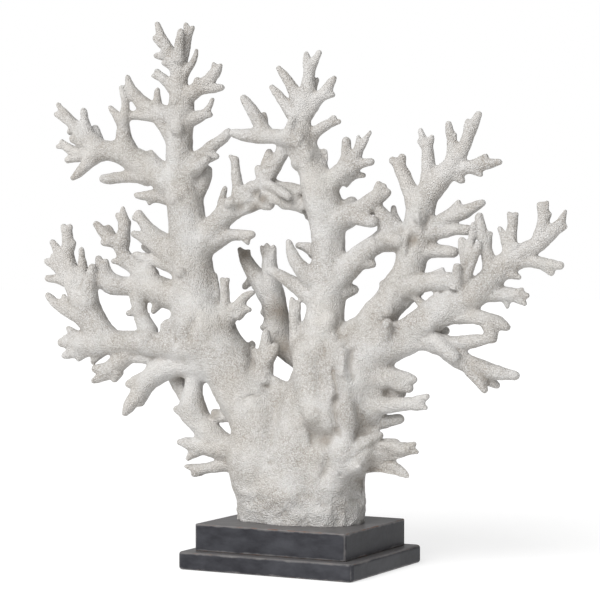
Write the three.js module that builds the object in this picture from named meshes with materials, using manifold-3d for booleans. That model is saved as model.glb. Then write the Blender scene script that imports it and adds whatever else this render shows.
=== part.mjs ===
// A white branching coral on a dark stand of two steps.
// Millimetres, +Z up, the floor at z = 0. The stand's long side lies along X and its front faces -Y.
import * as THREE from "three";
import { mergeVertices } from "three/addons/utils/BufferGeometryUtils.js";
import Module from "manifold-3d";

// Stand: a lower slab with a smaller block on it.
const SLAB_LENGTH = 194;
const SLAB_DEPTH = 160;
const SLAB_HEIGHT = 18;
const SLAB_CORNER = 6;
const SLAB_EDGE = 3;
const BLOCK_LENGTH = 168;
const BLOCK_DEPTH = 136;
const BLOCK_HEIGHT = 27;
const BLOCK_CORNER = 3.5;
const BLOCK_EDGE = 1.2;

// Coral: its fan is turned from the stand's long side, and sweeps forward towards its right end.
const FAN_TURN = THREE.MathUtils.degToRad(27.8);
const FAN_SWEEP = 0.45;
const CORAL_BOTTOM = SLAB_HEIGHT + BLOCK_HEIGHT;

// The cut between two pieces of the coral.
const SPLIT_GAP = 0.3;

// Colours of the two materials.
const CORAL_WHITE = 0xd7d5d1;
const STAND_CHARCOAL = 0x48484c;

const wasm = await Module();
wasm.setup();
const { Manifold } = wasm;

// A branch is a row of stations [across, forward, up, radius] along its middle, from root to tip.
// Across runs to the right of the fan. Forward is measured from the fan's middle sheet.
const twig = (label, ...stations) => ({ label, stations, levelEnds: false });

// A column has both ends cut level, where another piece stands on it.
const column = (label, ...stations) => ({ label, stations, levelEnds: true });

// Trunk: columns grown together, ribs down the front, short hands on both flanks.
const trunk = [
  column(
    "left column",
    [-28, -4, 45, 36.5], [-27, -4, 70, 36], [-31, -3, 82, 39], [-37, 0, 105, 38], [-38.5, 0, 135, 32.5],
    [-48, 0, 160, 30], [-70, 0, 198, 29],
  ),
  column("middle column", [0, 0, 45, 41], [2, 0, 90, 41], [11, 2, 170, 30], [16, 0, 198, 22]),
  column(
    "right column",
    [26, -2, 45, 38], [28, -2, 90, 37], [42, 5, 155, 35], [46, 6, 170, 32], [53, 8, 200, 33],
  ),
  twig("front middle rib", [6, 12, 230, 14], [12, 20, 180, 19], [14, 25, 166, 18.5], [15, 30, 156, 15.5]),
  twig("front right rib", [43, 12, 204, 11], [44, 19, 188, 13], [43, 25, 128, 14], [40, 22, 104, 15]),
  twig("outer right rib", [70, 6, 205, 18], [70, 8, 158, 13.5]),
  twig("left hand low", [-60, 2, 100, 14], [-76, 4, 99, 8.5], [-106, 6, 92.5, 6]),
  twig("left hand high", [-64, 4, 116, 14], [-108, 9, 117.5, 8], [-124, 9, 120.5, 3.8]),
  twig("right hand 1", [60, 10, 196, 20], [110, 13, 191.8, 4.6]),
  twig("right hand 2", [60, 10, 165, 16], [84, 14, 165.5, 9], [110, 15, 168.5, 6]),
  twig("right hand 2 tip a", [108, 15, 169, 5.5], [123, 15, 175.8, 2.6]),
  twig("right hand 3", [60, 2, 147, 12], [80, 2, 147.5, 7], [97, 1, 151.5, 4.9]),
  twig("right hand 4", [50, 8, 112, 22], [70, 13, 116, 15], [105, 15, 124, 6.6]),
  twig("right hand 5", [62, 10, 112, 16], [80, 13, 107.5, 9], [104, 13, 97.2, 3]),
  twig("saddle", [-24, 0, 140, 22], [-22, 0, 170, 15]),
  twig("pale finger", [-38, 8, 184, 10], [-34, 6, 230, 4.6]),
  twig("behind rib", [10, -30, 52, 22], [8, -30, 100, 18], [6, -22, 150, 14]),
  twig("right lump", [48, 24, 121, 10], [60, 26, 128, 7], [76.5, 17, 136, 4.6]),
];

// Limb that leaves the left flank, rises clear of the trunk and meets the left tower again.
const left_loop = [
  twig(
    "stem",
    [-74, 4, 117, 12], [-91, 6, 130, 12], [-110, 6, 154, 15.5], [-109, 4, 182, 10], [-106, 2, 200, 14],
  ),
  twig("back spur", [-113, -5, 158, 9], [-122, -10, 172, 8], [-127, -11, 183, 9], [-131, -7, 194, 8.5]),
];

// Left tower: the tallest stem as far as its crown, with its own short twigs.
const left_tower = [
  column(
    "stem",
    [-70, 0, 196, 29], [-87, 0, 218, 29.5], [-101, 0, 240, 33], [-106, 0, 268, 24.5],
    [-119, 0, 370, 19.5], [-122, 0, 395, 16],
  ),
  twig("short twig", [-134, 0, 372, 11], [-169.5, 0, 373, 3.6]),
  twig("right arm", [-98, 0, 322, 14], [-70, 0, 331.5, 6.5], [-49, 0, 332.5, 4]),
  twig("hugging twig", [-84, 0, 255, 6], [-86, 2, 272, 5], [-89, -4, 290, 4]),
  twig("small branch", [-80, 6, 238, 12], [-77, 8, 258, 6], [-77, 8, 284, 4.4]),
  twig("small branch right", [-74, 4, 247, 10], [-62, 6, 262, 6], [-48.5, 2, 273.8, 3.2]),
  twig(
    "behind branch",
    [-101, -22, 240, 15], [-98, -43, 252, 9], [-100, -56, 265, 6], [-104, -60, 274, 4.4],
  ),
];

// Crown of the left tower, with the highest tip of the coral.
const left_crown = [
  column(
    "stem",
    [-122, 0, 395, 16], [-124, 0, 420, 14.3], [-122.5, 0, 465, 13.5], [-124, 0, 482, 9.8],
    [-127, 0, 510, 8.5],
  ),
  twig("top", [-129, 0, 508, 8], [-147, 0, 547, 3]),
  twig("arm high", [-120, 0, 471, 10], [-97, 0, 485, 7], [-85, 0, 498.5, 5.3]),
  twig("arch arm", [-118, -1, 404, 12], [-105, -2, 409, 9.4], [-73.5, -5, 435.5, 4.3]),
];

// Small arm that leaves the crown to the left.
const upper_left_arm = [
  twig("root", [-124, 0, 450, 12], [-150, 0, 457, 8.8]),
  twig("low twig", [-146, 0, 454.5, 9], [-179, 0, 454.5, 5]),
  twig(
    "main finger",
    [-146, 0, 457, 9], [-159, 0, 464, 8], [-170.5, 0, 475.5, 6.8], [-178.6, 0, 494, 3.2],
  ),
  twig("root web", [-128, 0, 422, 9], [-143, 0, 449, 8]),
];

// Long left arm with a hand of fingers at its end.
const left_arm = [
  twig("stem", [-120, 0, 383, 16], [-134, 0, 387, 16], [-184, 0, 415.5, 12.3], [-212, 0, 421, 10.5]),
  twig("up arm", [-180, 0, 418, 12.5], [-183, 0, 432, 8.8], [-183, 4, 451, 7]),
  twig("vertical finger", [-183, 4, 448, 7.5], [-180.5, 6, 460, 5.2], [-184.3, 6, 482.5, 3.6]),
  twig("long finger", [-208, 0, 420, 11], [-238, 0, 448, 6.5], [-253.5, 0, 467.3, 2.9]),
  twig("lower palm", [-204, 0, 416, 10], [-236, 0, 418.5, 6.2], [-248, 0, 425.5, 4.6]),
  twig("hanging finger", [-212, 2, 415, 10], [-237.3, 6, 390.5, 3.2]),
  twig("under finger", [-156, 0, 393, 13], [-172, 0, 392.5, 8], [-204.5, 0, 389.5, 4.6]),
];

// Arm from the left tower across the middle gap, with fingers standing on it.
const crossing_arm = [
  twig(
    "stem",
    [-104, 0, 322, 18], [-76, 0, 352, 11.5], [-48, 0, 366, 10.5], [-38, 2, 367, 8.6],
    [-31, 5, 363, 5.6],
  ),
  twig("raised branch", [-50, 0, 368, 9.5], [-21, 0, 410, 7.5], [-12, 0, 434, 7]),
  twig("tall finger", [-62, 0, 366, 9], [-66.5, 0, 408, 4.9]),
  twig("front finger", [-37.1, 6, 383.3, 7], [-26.9, 12, 379.7, 5], [-12.3, 18, 370.6, 4.2]),
  twig("raised root", [-60, 0, 369, 9], [-48, 0, 378, 9.5]),
];

// Middle limb on the left, which forks twice.
const left_mid_limb = [
  twig(
    "stem",
    [-110, 0, 264, 20], [-168, 0, 279, 11.5], [-184, 0, 278.3, 10], [-198, -2, 281, 12],
    [-204, -3, 290, 10], [-205.5, -4, 298, 7.2],
  ),
  twig("middle finger", [-162, 0, 292, 11], [-176, 0, 300, 7], [-194.5, 0, 304, 3.5]),
  twig(
    "web to the low limb",
    [-167, 2, 270, 11], [-166.5, 4, 260, 9], [-161.5, 4, 242, 8.3], [-157, 4, 232, 11],
  ),
  twig(
    "rising branch",
    [-153.1, 0, 284.2, 13.4], [-184.1, 0, 312.8, 7.5], [-185.6, 0, 321.1, 8.9], [-182.6, 0, 344.9, 6.4],
    [-183.6, 1, 358.9, 3],
  ),
  twig("rising left", [-186.1, 0, 321.1, 8.3], [-212.8, 0, 342.6, 3.7]),
  twig("lower arm", [-119.4, 6, 293.8, 12.3], [-129.9, 6, 298.3, 7.7], [-170.6, 4, 311.3, 3.6]),
  twig("lower arm web", [-155.2, 2, 303.7, 6.2], [-159.5, 0, 293.4, 10.3]),
];

// Single thick finger above the middle limb.
const left_mid_finger = [
  twig("finger", [-117.3, 1, 309.2, 16.4], [-147.8, 2, 329.5, 9.3], [-167.1, 1, 353.2, 4.5]),
  twig("second finger", [-125.7, 3, 308.1, 11.3], [-171.7, 4, 332.5, 3.7]),
];

// Low left limb, the furthest out, ending in a fan of fingers.
const far_left_limb = [
  twig(
    "stem",
    [-96, 12, 222, 22], [-128, 12, 219, 15], [-150, 12, 220, 12.5], [-192, 8, 220, 13.5],
    [-207, 4, 229, 15], [-218, 0, 246, 14.5], [-225, 0, 265, 14],
  ),
  twig("finger 1", [-221, 3, 256, 12.5], [-216, 10, 297, 5]),
  twig("finger 2", [-225, 0, 272, 10], [-228.3, 2, 316, 3.4]),
  twig("finger 4", [-228, 0, 262, 13], [-239, 0, 288, 10.5], [-243.5, 0, 308, 7.6], [-244.3, 0, 335, 6]),
  twig("finger 7", [-234, 0, 279, 10], [-252, 0, 285, 5.6], [-265.5, 0, 285.5, 3.6]),
  twig("finger 8", [-216, 0, 240, 14], [-261, 0, 262.5, 5], [-265.5, 0, 267.3, 3.6]),
  twig("root web", [-104, 4, 226, 20], [-124, 4, 236, 9]),
];

// Hand that opens from the end of the low left limb.
const far_left_hand = [
  twig("palm", [-200, 8, 220, 12.5], [-226, 4, 217.5, 11.5]),
];

// Second, smaller hand under the low left limb.
const far_left_low_hand = [
  twig("low palm", [-174, 8, 211, 10.5], [-202, 8, 189.5, 8]),
];

// Limb under the low left limb, hanging down at its end.
const lower_left_limb = [
  twig("stem", [-96, 2, 200, 20], [-134, 6, 198, 13.5], [-156, 8, 182.5, 11.5], [-168, 8, 165, 9.4]),
  twig("long finger", [-167.5, 9, 167, 9], [-181, 10, 148, 3.8]),
  twig("upper ledge", [-126, 5, 203, 9], [-150, 6, 204, 5.5], [-172, 8, 206, 7]),
];

// Centre tower as far as its crown.
const centre_tower = [
  column(
    "stem",
    [14, 0, 190, 22], [19, 0, 225, 22.5], [27, 0, 275, 19], [27.5, 0, 325, 17], [22, 0, 365, 19.5],
    [9, 0, 405, 14],
  ),
  twig("front rib", [10, 14, 198, 18], [28, 12, 250, 9]),
  twig("left finger 1", [14, 6, 288, 12], [2, 8, 297, 9], [-6, 8, 308, 6.5], [-12, 8, 325.5, 3.4]),
  twig("left finger 3", [16, 2, 268, 12], [-22, 2, 292, 6], [-30, 0, 296, 5]),
  twig("left finger 4", [4, 6, 208, 13], [-3, 10, 226, 8.5], [-6.5, 10, 255, 5.4]),
  twig("link to the right", [32, 0, 286, 16], [68, 0, 319.5, 10.5], [80, 0, 326.5, 11], [94, 0, 328, 13]),
  twig("left twig a", [1.2, 0, 371.1, 10], [-24.9, -6, 383.3, 4.2]),
  twig("behind branch", [18, -14, 296, 13], [21, -33, 309, 8], [20, -44, 322, 5.4], [19, -47, 330, 4.2]),
];

// Crown of the centre tower, with the arch that reaches to the left.
const centre_crown = [
  column("stem", [9, 0, 405, 14], [-1, 0, 440, 11.5], [0, 0, 455, 11], [4, 0, 463, 11.5]),
  twig("top", [3, 0, 458, 11.5], [9, 0, 500, 6.5]),
  twig("left finger", [0, 0, 464, 10], [-21.7, 0, 498.5, 3.3]),
  twig("left long finger", [-3, 0, 449, 10.5], [-28.7, 0, 480, 3.3]),
  twig("right finger", [3, 0, 453, 10], [24, 0, 474, 6.5], [33, 0, 487.3, 3]),
  twig("shade finger", [4, -4, 422, 12], [14, -4, 434, 7], [29.5, -4, 443.5, 4.6]),
  twig("arch", [2, 8, 424, 9], [-8, 9, 428, 9.5], [-50, 6, 431.8, 7.4], [-68, 8, 434.6, 4.9]),
  twig("arch finger", [-34, 2, 433, 8.5], [-57.7, 2, 469.5, 4.2]),
  twig("left web", [-8, 2, 424, 8], [0, 0, 408, 10]),
];

// Forked twig on the right of the centre tower.
const centre_right_fork = [
  twig("inner stem", [22, 0, 374, 14], [46, 0, 398, 9]),
  twig("inner c", [47, 0, 396, 8], [69.5, 0, 404.5, 4.1]),
];

// Arm on the right of the centre tower, which passes in front of the right tower.
const centre_right_arm = [
  twig("outer stem", [26, 0, 345, 17], [61, 4, 358, 10.3], [78, 4, 372.3, 7.6]),
];

// Limb behind the middle gap.
const back_limb = [
  twig(
    "stem",
    [4, -16, 206, 13], [-13, -21, 215, 11.5], [-22, -25, 225, 14], [-25, -28, 250, 13.5],
    [-31, -28, 281, 12],
  ),
  twig("left", [-31, -28, 272, 14], [-58, -40, 310.5, 6.2]),
];

// Right tower as far as its crown.
const right_tower = [
  twig(
    "stem",
    [56, 2, 204, 24], [66, 0, 224, 20], [73, 0, 246, 19.5], [84, 0, 262, 16.7], [105, 0, 298, 16],
    [118, 0, 362, 14],
  ),
  twig("inner finger", [115, 0, 358, 12.5], [95, 0, 402.3, 5.8]),
  twig("arm mid", [118, 0, 337, 12], [175.3, 0, 364, 3.7]),
  twig("arm mid low", [116, 0, 333, 12], [162.5, 0, 337.2, 4.8]),
  twig("arm low", [108, 0, 313, 13], [128, 0, 317.3, 8], [148.5, 0, 316, 5.6]),
  twig("arm inner", [106, 2, 326, 12], [76.5, 2, 357.5, 6]),
  twig("twig to the right", [96, 2, 280, 13], [123, 7, 286.5, 10], [146, 10, 288.5, 9]),
  twig("crotch web", [42, -2, 224, 16], [52, -2, 235, 14], [62, -2, 240, 15]),
  twig("under web", [88, -4, 258, 11], [114, -2, 279, 8]),
  twig("inner web", [81, 2, 345, 9], [98, 0, 330, 12]),
  twig("behind branch", [84, -8, 262, 12], [87, -27, 273, 7.4], [91, -37, 284, 4.8]),
];

// Crown of the right tower.
const right_crown = [
  twig("up", [120, 0, 362, 13], [125, 0, 378, 10.3], [123.2, 0, 420, 6.1]),
  twig("fork", [120, 0, 368, 12.5], [147, 0, 400.5, 10], [150.5, 0, 409, 8.2]),
  twig("fork left", [148.5, 0, 408, 7.5], [143.3, 0, 440.5, 4]),
  twig("fork right", [152, 0, 406, 8], [164.3, 0, 436, 6]),
  twig("side", [144, 0, 395, 10], [191.3, 0, 403.3, 3.5]),
];

// Thick limb to the right with standing fingers.
const right_limb = [
  twig(
    "stem",
    [60, 10, 214, 27], [78, 8, 224, 24], [101, 8, 234.5, 15.8], [122, 8, 249, 15.8],
    [168, 4, 275, 13.8], [196, 0, 304, 11.5],
  ),
  twig("tall finger", [184.5, 4, 297.1, 9.6], [172.3, 6, 350.6, 4.4]),
  twig("pair left", [157.3, 8, 281.3, 7.3], [158.7, 11, 298.7, 5.4], [155.9, 12, 326.8, 4]),
  twig("pair right", [159.2, 10, 294.9, 5], [166.3, 12, 342.4, 3]),
  twig("low arm", [176, 1, 278, 11.5], [209, 0, 275.8, 6.4]),
  twig("web", [124, 8, 250, 12], [168, 8, 254, 7.7], [190, 4, 248.5, 6.8], [198, 4, 244.5, 4.3]),
  twig("web drop", [180, 6, 248, 7.5], [184.7, 6, 232.5, 5]),
  twig("under side", [88, 9, 226, 20], [104, 9, 228, 14]),
  twig("behind twig", [146, -4, 264, 9], [148, -20, 272, 5.6], [149, -26, 278, 4]),
];

// End of the right limb, which spreads up and out.
const right_limb_end = [
  twig("stem", [190, 0, 298, 12], [199, 0, 307, 10.5], [228, 0, 324.5, 7.8]),
  twig("up", [227, 0, 323, 8.5], [232, 0, 344, 6.2], [231.2, 0, 360, 5]),
  twig("right", [227, 0, 324, 8.5], [247, 0, 344, 5.2], [252, 0, 355.5, 2.4]),
  twig("mid", [201, 0, 308, 9.5], [204, 0, 349, 5.2]),
  twig("side", [200, 0, 305, 9.5], [218, 0, 308, 6.3], [247.2, 0, 304, 4]),
];

// Limb under the right limb, drooping towards its tips.
const lower_right_limb = [
  twig(
    "stem",
    [92, 6, 230, 15], [112, 8, 231.5, 12], [140, 11, 222.5, 10], [163, 10, 207.5, 9.5],
    [205.5, 6, 198, 4.8],
  ),
  twig("upper finger", [128, 10, 228.5, 10], [150, 10, 227, 8.5], [177.5, 8, 231.8, 5.6]),
  twig("front finger", [126.1, 12, 233, 8.8], [147.9, 24, 215, 6.2]),
];

// A place in the fan, as a place over the stand.
function placed([across, forward, up]) {
  const toFront = FAN_SWEEP * across + forward;
  const x = across * Math.cos(FAN_TURN) + toFront * Math.sin(FAN_TURN);
  const y = across * Math.sin(FAN_TURN) - toFront * Math.cos(FAN_TURN);
  return new THREE.Vector3(x, y, up);
}

// How many flats go round a branch of this radius.
function flatsFor(radius) {
  if (radius > 26) return 10;
  if (radius > 14) return 7;
  if (radius > 8.5) return 5;
  return 4;
}

// A closed geometry as a manifold-3d solid. Only the corners' places are kept.
function solidOf(geometry) {
  const bare = geometry.clone();
  bare.deleteAttribute("normal");
  bare.deleteAttribute("uv");
  const merged = mergeVertices(bare, 1e-4);
  const mesh = new wasm.Mesh({
    numProp: 3,
    vertProperties: new Float32Array(merged.attributes.position.array),
    triVerts: new Uint32Array(merged.index.array),
  });
  return new Manifold(mesh);
}

// One branch: a rod turned on a straight axis, with a step for every station, then bent along them.
function branchSolid(branch, grow) {
  const places = branch.stations.map(placed);
  const radii = branch.stations.map((station) => station[3] + grow);
  const sorted = [...radii].sort((a, b) => a - b);
  const sides = flatsFor(sorted[Math.floor(sorted.length / 2)] - grow);
  const fullness = 2 / (1 + Math.cos(Math.PI / sides));
  const last = places.length - 1;
  const headings = places.map((place, i) => {
    const from = places[Math.max(i - 1, 0)];
    const to = places[Math.min(i + 1, last)];
    return to.clone().sub(from).normalize();
  });
  if (branch.levelEnds) {
    headings[0] = new THREE.Vector3(0, 0, Math.sign(headings[0].z));
    headings[last] = new THREE.Vector3(0, 0, Math.sign(headings[last].z));
    places[last].addScaledVector(headings[last], grow);
  } else {
    const centre = places[last].clone();
    const ahead = headings[last];
    const reach = radii[last];
    if (reach > 7) {
      places.push(centre.clone().addScaledVector(ahead, 0.62 * reach));
      radii.push(0.72 * reach);
      headings.push(ahead.clone());
    }
    places.push(centre.clone().addScaledVector(ahead, 0.98 * reach));
    radii.push(0);
    headings.push(ahead.clone());
  }
  places[0].addScaledVector(headings[0], -grow);

  const profile = [new THREE.Vector2(0, 0)];
  radii.forEach((radius, step) => profile.push(new THREE.Vector2(fullness * radius, step)));
  if (branch.levelEnds) profile.push(new THREE.Vector2(0, last));
  const rod = new THREE.LatheGeometry(profile, sides);
  rod.deleteAttribute("normal");
  rod.deleteAttribute("uv");
  const bent = mergeVertices(rod, 1e-4);

  // Each step's across direction is carried along from the one before, so that the rod doesn't twist.
  let side = new THREE.Vector3(1, 0, 0);
  if (Math.abs(headings[0].x) > 0.9) side = new THREE.Vector3(0, 1, 0);
  const frames = headings.map((heading) => {
    side = side.clone().addScaledVector(heading, -side.dot(heading)).normalize();
    return [side, side.clone().cross(heading)];
  });
  const spots = bent.attributes.position;
  for (let v = 0; v < spots.count; v++) {
    const step = Math.round(spots.getY(v));
    const [across, along] = frames[step];
    const spot = places[step].clone();
    spot.addScaledVector(across, spots.getX(v));
    spot.addScaledVector(along, spots.getZ(v));
    spots.setXYZ(v, spot.x, spot.y, spot.z);
  }
  return solidOf(bent);
}

// The branches of one piece joined. The coral is cut off level at the top of the block.
function joined(branches, grow) {
  const whole = Manifold.union(branches.map((branch) => branchSolid(branch, grow)));
  const lowest = grow > 0 ? CORAL_BOTTOM - 1 : CORAL_BOTTOM;
  return whole.trimByPlane([0, 0, 1], lowest);
}

// The largest connected body of a solid: what is left over beyond a neighbour is dropped.
function mainBody(solid) {
  const bodies = solid.decompose();
  bodies.sort((a, b) => b.volume() - a.volume());
  return bodies[0];
}

// A manifold-3d solid back as a flat-shaded three.js geometry.
function geometryOf(solid) {
  const data = solid.getMesh();
  const positions = new Float32Array(data.numVert * 3);
  for (let i = 0; i < data.numVert; i++) {
    positions.set(data.vertProperties.subarray(i * data.numProp, i * data.numProp + 3), i * 3);
  }
  const geometry = new THREE.BufferGeometry();
  geometry.setAttribute("position", new THREE.BufferAttribute(positions, 3));
  geometry.setIndex(new THREE.BufferAttribute(data.triVerts, 1));
  const flat = geometry.toNonIndexed();
  flat.computeVertexNormals();
  return flat;
}

// One step of the stand: a rectangle with round corners, extruded upwards with a rounded rim.
function tierGeometry(length, depth, height, corner, edge) {
  const x = length / 2;
  const y = depth / 2;
  const outline = new THREE.Shape();
  outline.moveTo(-x + corner, -y);
  outline.lineTo(x - corner, -y);
  outline.absarc(x - corner, -y + corner, corner, -Math.PI / 2, 0, false);
  outline.lineTo(x, y - corner);
  outline.absarc(x - corner, y - corner, corner, 0, Math.PI / 2, false);
  outline.lineTo(-x + corner, y);
  outline.absarc(-x + corner, y - corner, corner, Math.PI / 2, Math.PI, false);
  outline.lineTo(-x, -y + corner);
  outline.absarc(-x + corner, -y + corner, corner, Math.PI, 1.5 * Math.PI, false);
  const geometry = new THREE.ExtrudeGeometry(outline, {
    depth: height - 2 * edge,
    bevelEnabled: true,
    bevelThickness: edge,
    bevelSize: edge,
    bevelOffset: -edge,
    bevelSegments: 2,
    curveSegments: 3,
  });
  return geometry.translate(0, 0, edge);
}

function named(name, geometry, color, roughness) {
  const material = new THREE.MeshStandardMaterial({ color, roughness, metalness: 0 });
  const mesh = new THREE.Mesh(geometry, material);
  mesh.name = name;
  return mesh;
}

const stand = new THREE.Group();
const slab = tierGeometry(SLAB_LENGTH, SLAB_DEPTH, SLAB_HEIGHT, SLAB_CORNER, SLAB_EDGE);
const block = tierGeometry(BLOCK_LENGTH, BLOCK_DEPTH, BLOCK_HEIGHT, BLOCK_CORNER, BLOCK_EDGE);
const slabMesh = named("stand_slab", slab, STAND_CHARCOAL, 0.5);
const blockMesh = named("stand_block", block, STAND_CHARCOAL, 0.5);
blockMesh.position.z = SLAB_HEIGHT;
stand.add(slabMesh, blockMesh);

// The pieces in the order in which they branch off. A later piece is cut back from every earlier one.
const pieces = {
  trunk,
  left_loop,
  left_tower,
  left_crown,
  upper_left_arm,
  left_arm,
  crossing_arm,
  left_mid_limb,
  left_mid_finger,
  far_left_limb,
  far_left_hand,
  far_left_low_hand,
  lower_left_limb,
  centre_tower,
  centre_crown,
  centre_right_fork,
  centre_right_arm,
  back_limb,
  right_tower,
  right_crown,
  right_limb,
  right_limb_end,
  lower_right_limb,
};
const coral = new THREE.Group();
let taken = null;
for (const [name, branches] of Object.entries(pieces)) {
  const whole = joined(branches, 0);
  const seated = taken ? whole.subtract(taken) : whole;
  coral.add(named(name, geometryOf(mainBody(seated)), CORAL_WHITE, 0.9));
  const grown = joined(branches, SPLIT_GAP);
  taken = taken ? taken.add(grown) : grown;
}

const ornament = new THREE.Group();
ornament.add(stand, coral);

export default ornament;
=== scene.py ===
"""A white branching coral on a dark stand of two steps, laid out as an add-on and run as a script."""

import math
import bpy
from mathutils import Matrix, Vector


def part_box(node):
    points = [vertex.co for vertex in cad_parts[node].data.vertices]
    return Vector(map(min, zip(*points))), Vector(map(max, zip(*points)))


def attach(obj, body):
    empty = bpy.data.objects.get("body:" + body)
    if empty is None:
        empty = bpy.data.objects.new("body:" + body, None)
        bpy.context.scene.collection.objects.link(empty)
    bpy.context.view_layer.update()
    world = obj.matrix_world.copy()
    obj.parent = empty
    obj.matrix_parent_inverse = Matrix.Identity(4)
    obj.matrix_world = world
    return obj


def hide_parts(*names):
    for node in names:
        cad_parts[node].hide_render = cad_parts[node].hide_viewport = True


bl_info = {
    "name": "Branching Coral on a Stand",
    "version": (1, 0, 0),
    "blender": (4, 5, 0),
    "location": "View3D > Sidebar > Coral",
    "description": "Makes a white branching coral, its dark stand and a plain studio stage",
    "category": "Add Mesh",
}

import bmesh
import bpy
import numpy as np
from mathutils import Vector

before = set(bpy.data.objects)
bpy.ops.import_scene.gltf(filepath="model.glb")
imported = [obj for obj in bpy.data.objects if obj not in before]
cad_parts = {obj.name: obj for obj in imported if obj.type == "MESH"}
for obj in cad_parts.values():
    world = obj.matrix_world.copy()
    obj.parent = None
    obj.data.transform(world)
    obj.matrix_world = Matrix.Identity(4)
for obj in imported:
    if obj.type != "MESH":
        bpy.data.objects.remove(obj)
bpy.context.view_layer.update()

MM = 0.001

# The fan of the coral is turned from the stand's long side and sweeps forward to its right.
FAN_TURN = math.radians(27.8)
FAN_SWEEP = 0.45
FAN_RIGHT = Vector((math.cos(FAN_TURN), math.sin(FAN_TURN), 0))
FAN_FRONT = Vector((math.sin(FAN_TURN), -math.cos(FAN_TURN), 0))
UP = Vector((0, 0, 1))

# The coral stands on top of the block. It is grown from a little lower and cut off level there.
FOOT_LEVEL = round(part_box("stand_block")[1].z, 4)
FOOT_SPARE = 0.012

# The lumps round the foot end at this level, and fade out over this height below it.
LUMPS_TOP = 0.084
LUMPS_FADE = 0.020

# Branches up to the slim radius keep their shape while the columns of the trunk run together,
# and those from the stout radius on run together in full. Millimetres.
SLIM_BRANCH = 8
STOUT_BRANCH = 26

# Furrows, ridges and steps reach no further back than this behind the fan's middle sheet, and
# waver to either side by this much. Millimetres.
RELIEF_BACK = 4
RELIEF_WAVER = 1.7

# How many times the borders between pieces are evened out, how many times strays are looked for,
# and how many faces wide a stray patch may be.
BORDER_ROUNDS = 6
STRAY_ROUNDS = 4
STRAY_WIDTH = 400

# Furrows and ridges on the front of the coral: start and end (across, up), half width, and how
# deep it is pressed in. A negative depth is raised. Millimetres.
RELIEF = [
    ((16, 134), (27, 131), 9, 8),
    ((6, 157), (24, 160), 12, -4),
    ((1, 148), (3, 145), 4, -2.5),
    ((26, 119), (24, 96), 6, 4),
    ((34, 206), (34, 142), 5, 3),
    ((34, 202), (34, 172), 2.8, 3.5),
    ((35, 172), (36, 136), 3.6, 5),
    ((39, 220), (41, 200), 5, -4),
    ((42, 196), (44, 172), 6, -2.5),
    ((49.5, 218), (50, 194), 4.5, 4.5),
    ((36, 122), (54, 104), 9, -4.5),
    ((-17, 186), (-16, 150), 4, 1.3),
    ((60, 142), (63, 150), 9, 6),
    ((-50, 218), (-49, 200), 5, 5),
    ((-31, 108), (-28, 109), 3, 1.5),
    ((38, 99), (38, 97), 1.8, 3),
    ((57, 106), (60, 104), 5, -3),
    ((-34, 76), (-14, 72), 9, -4),
    ((33, 68), (38, 52), 4.5, 3),
    ((6, 58), (22, 54), 7, -2.5),
    ((-60, 84), (-44, 82), 6, 2),
    ((-63, 358), (-56, 362), 5, 4),
    ((-46, 371), (-34, 367), 6, 5),
    ((13, 430), (21, 408), 7, 4),
    ((-150, 226), (-172, 233), 4, 2.5),
    ((-128, 227), (-127, 238), 4, 4),
    ((-108, 242), (-112, 228), 6, 4),
    ((108, 332), (107, 325), 4, 4),
    ((160, 213), (181, 193), 4, 3.5),
]

# Steps on the front of the coral: start and end (across, up), with the high side on the left of
# the way from start to end. Then how far that side rises, how far the other one drops, how far
# the step runs out and how soft its brink is. Millimetres.
STEPS = [
    ((12, 127), (-1, 147), 1.5, 4, 6, 2.4),
    ((33, 165), (32, 130), 2, 3.5, 6, 2.4),
    ((44, 74), (72, 124), 1.0, 12, 60, 10),
    ((38, 78), (60, 105), 1.5, 5, 18, 3.2),
    ((60, 105), (70, 126), 1.5, 5, 12, 3.0),
    ((3, 147), (29, 137), 2.5, 3, 6, 2.0),
    ((-56, 172), (-40, 172), 2, 3, 4.5, 2.0),
    ((54, 132), (53, 164), 2.5, 5.5, 8, 1.6),
    ((117, 338), (117, 352), 2, 3, 6, 2.0),
    ((105, 329), (90, 338), 2.5, 3, 7, 2.0),
    ((104, 316), (106, 329), 2, 4, 6, 2.0),
]

# Brown stains and painted shade on the coral, where shade falls in hollows, creases and under
# limbs: place (across, forward, up) and reach in millimetres, and how strong the darkening is.
STAINS_AND_PAINTED_SHADE = [
    ((-21, -26, 254), 16, 1.65),
    ((-57, -40, 312), 12, 1.4),
    ((-13, -26, 267), 9, 1.2),
    ((-18, -24, 217), 15, 1.65),
    ((-46, 6, 359), 9, 1.4),
    ((-38, 14, 368), 6, 1.6),
    ((-61, 10, 361), 6, 1.2),
    ((22, 30, 131), 10, 1.5),
    ((34, 28, 141), 7, 1.5),
    ((35, 28, 158), 6, 1.4),
    ((47, 22, 212), 7, 1.1),
    ((-96, 0, 160), 12, 1.3),
    ((-88, 5, 150), 7, 1.4),
    ((68, 8, 114), 9, 1.2),
    ((-8, 8, 419), 8, 0.7),
    ((-124, -2, 187), 10, 1.3),
    ((109, 14, 328), 6, 1.6),
]

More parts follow.
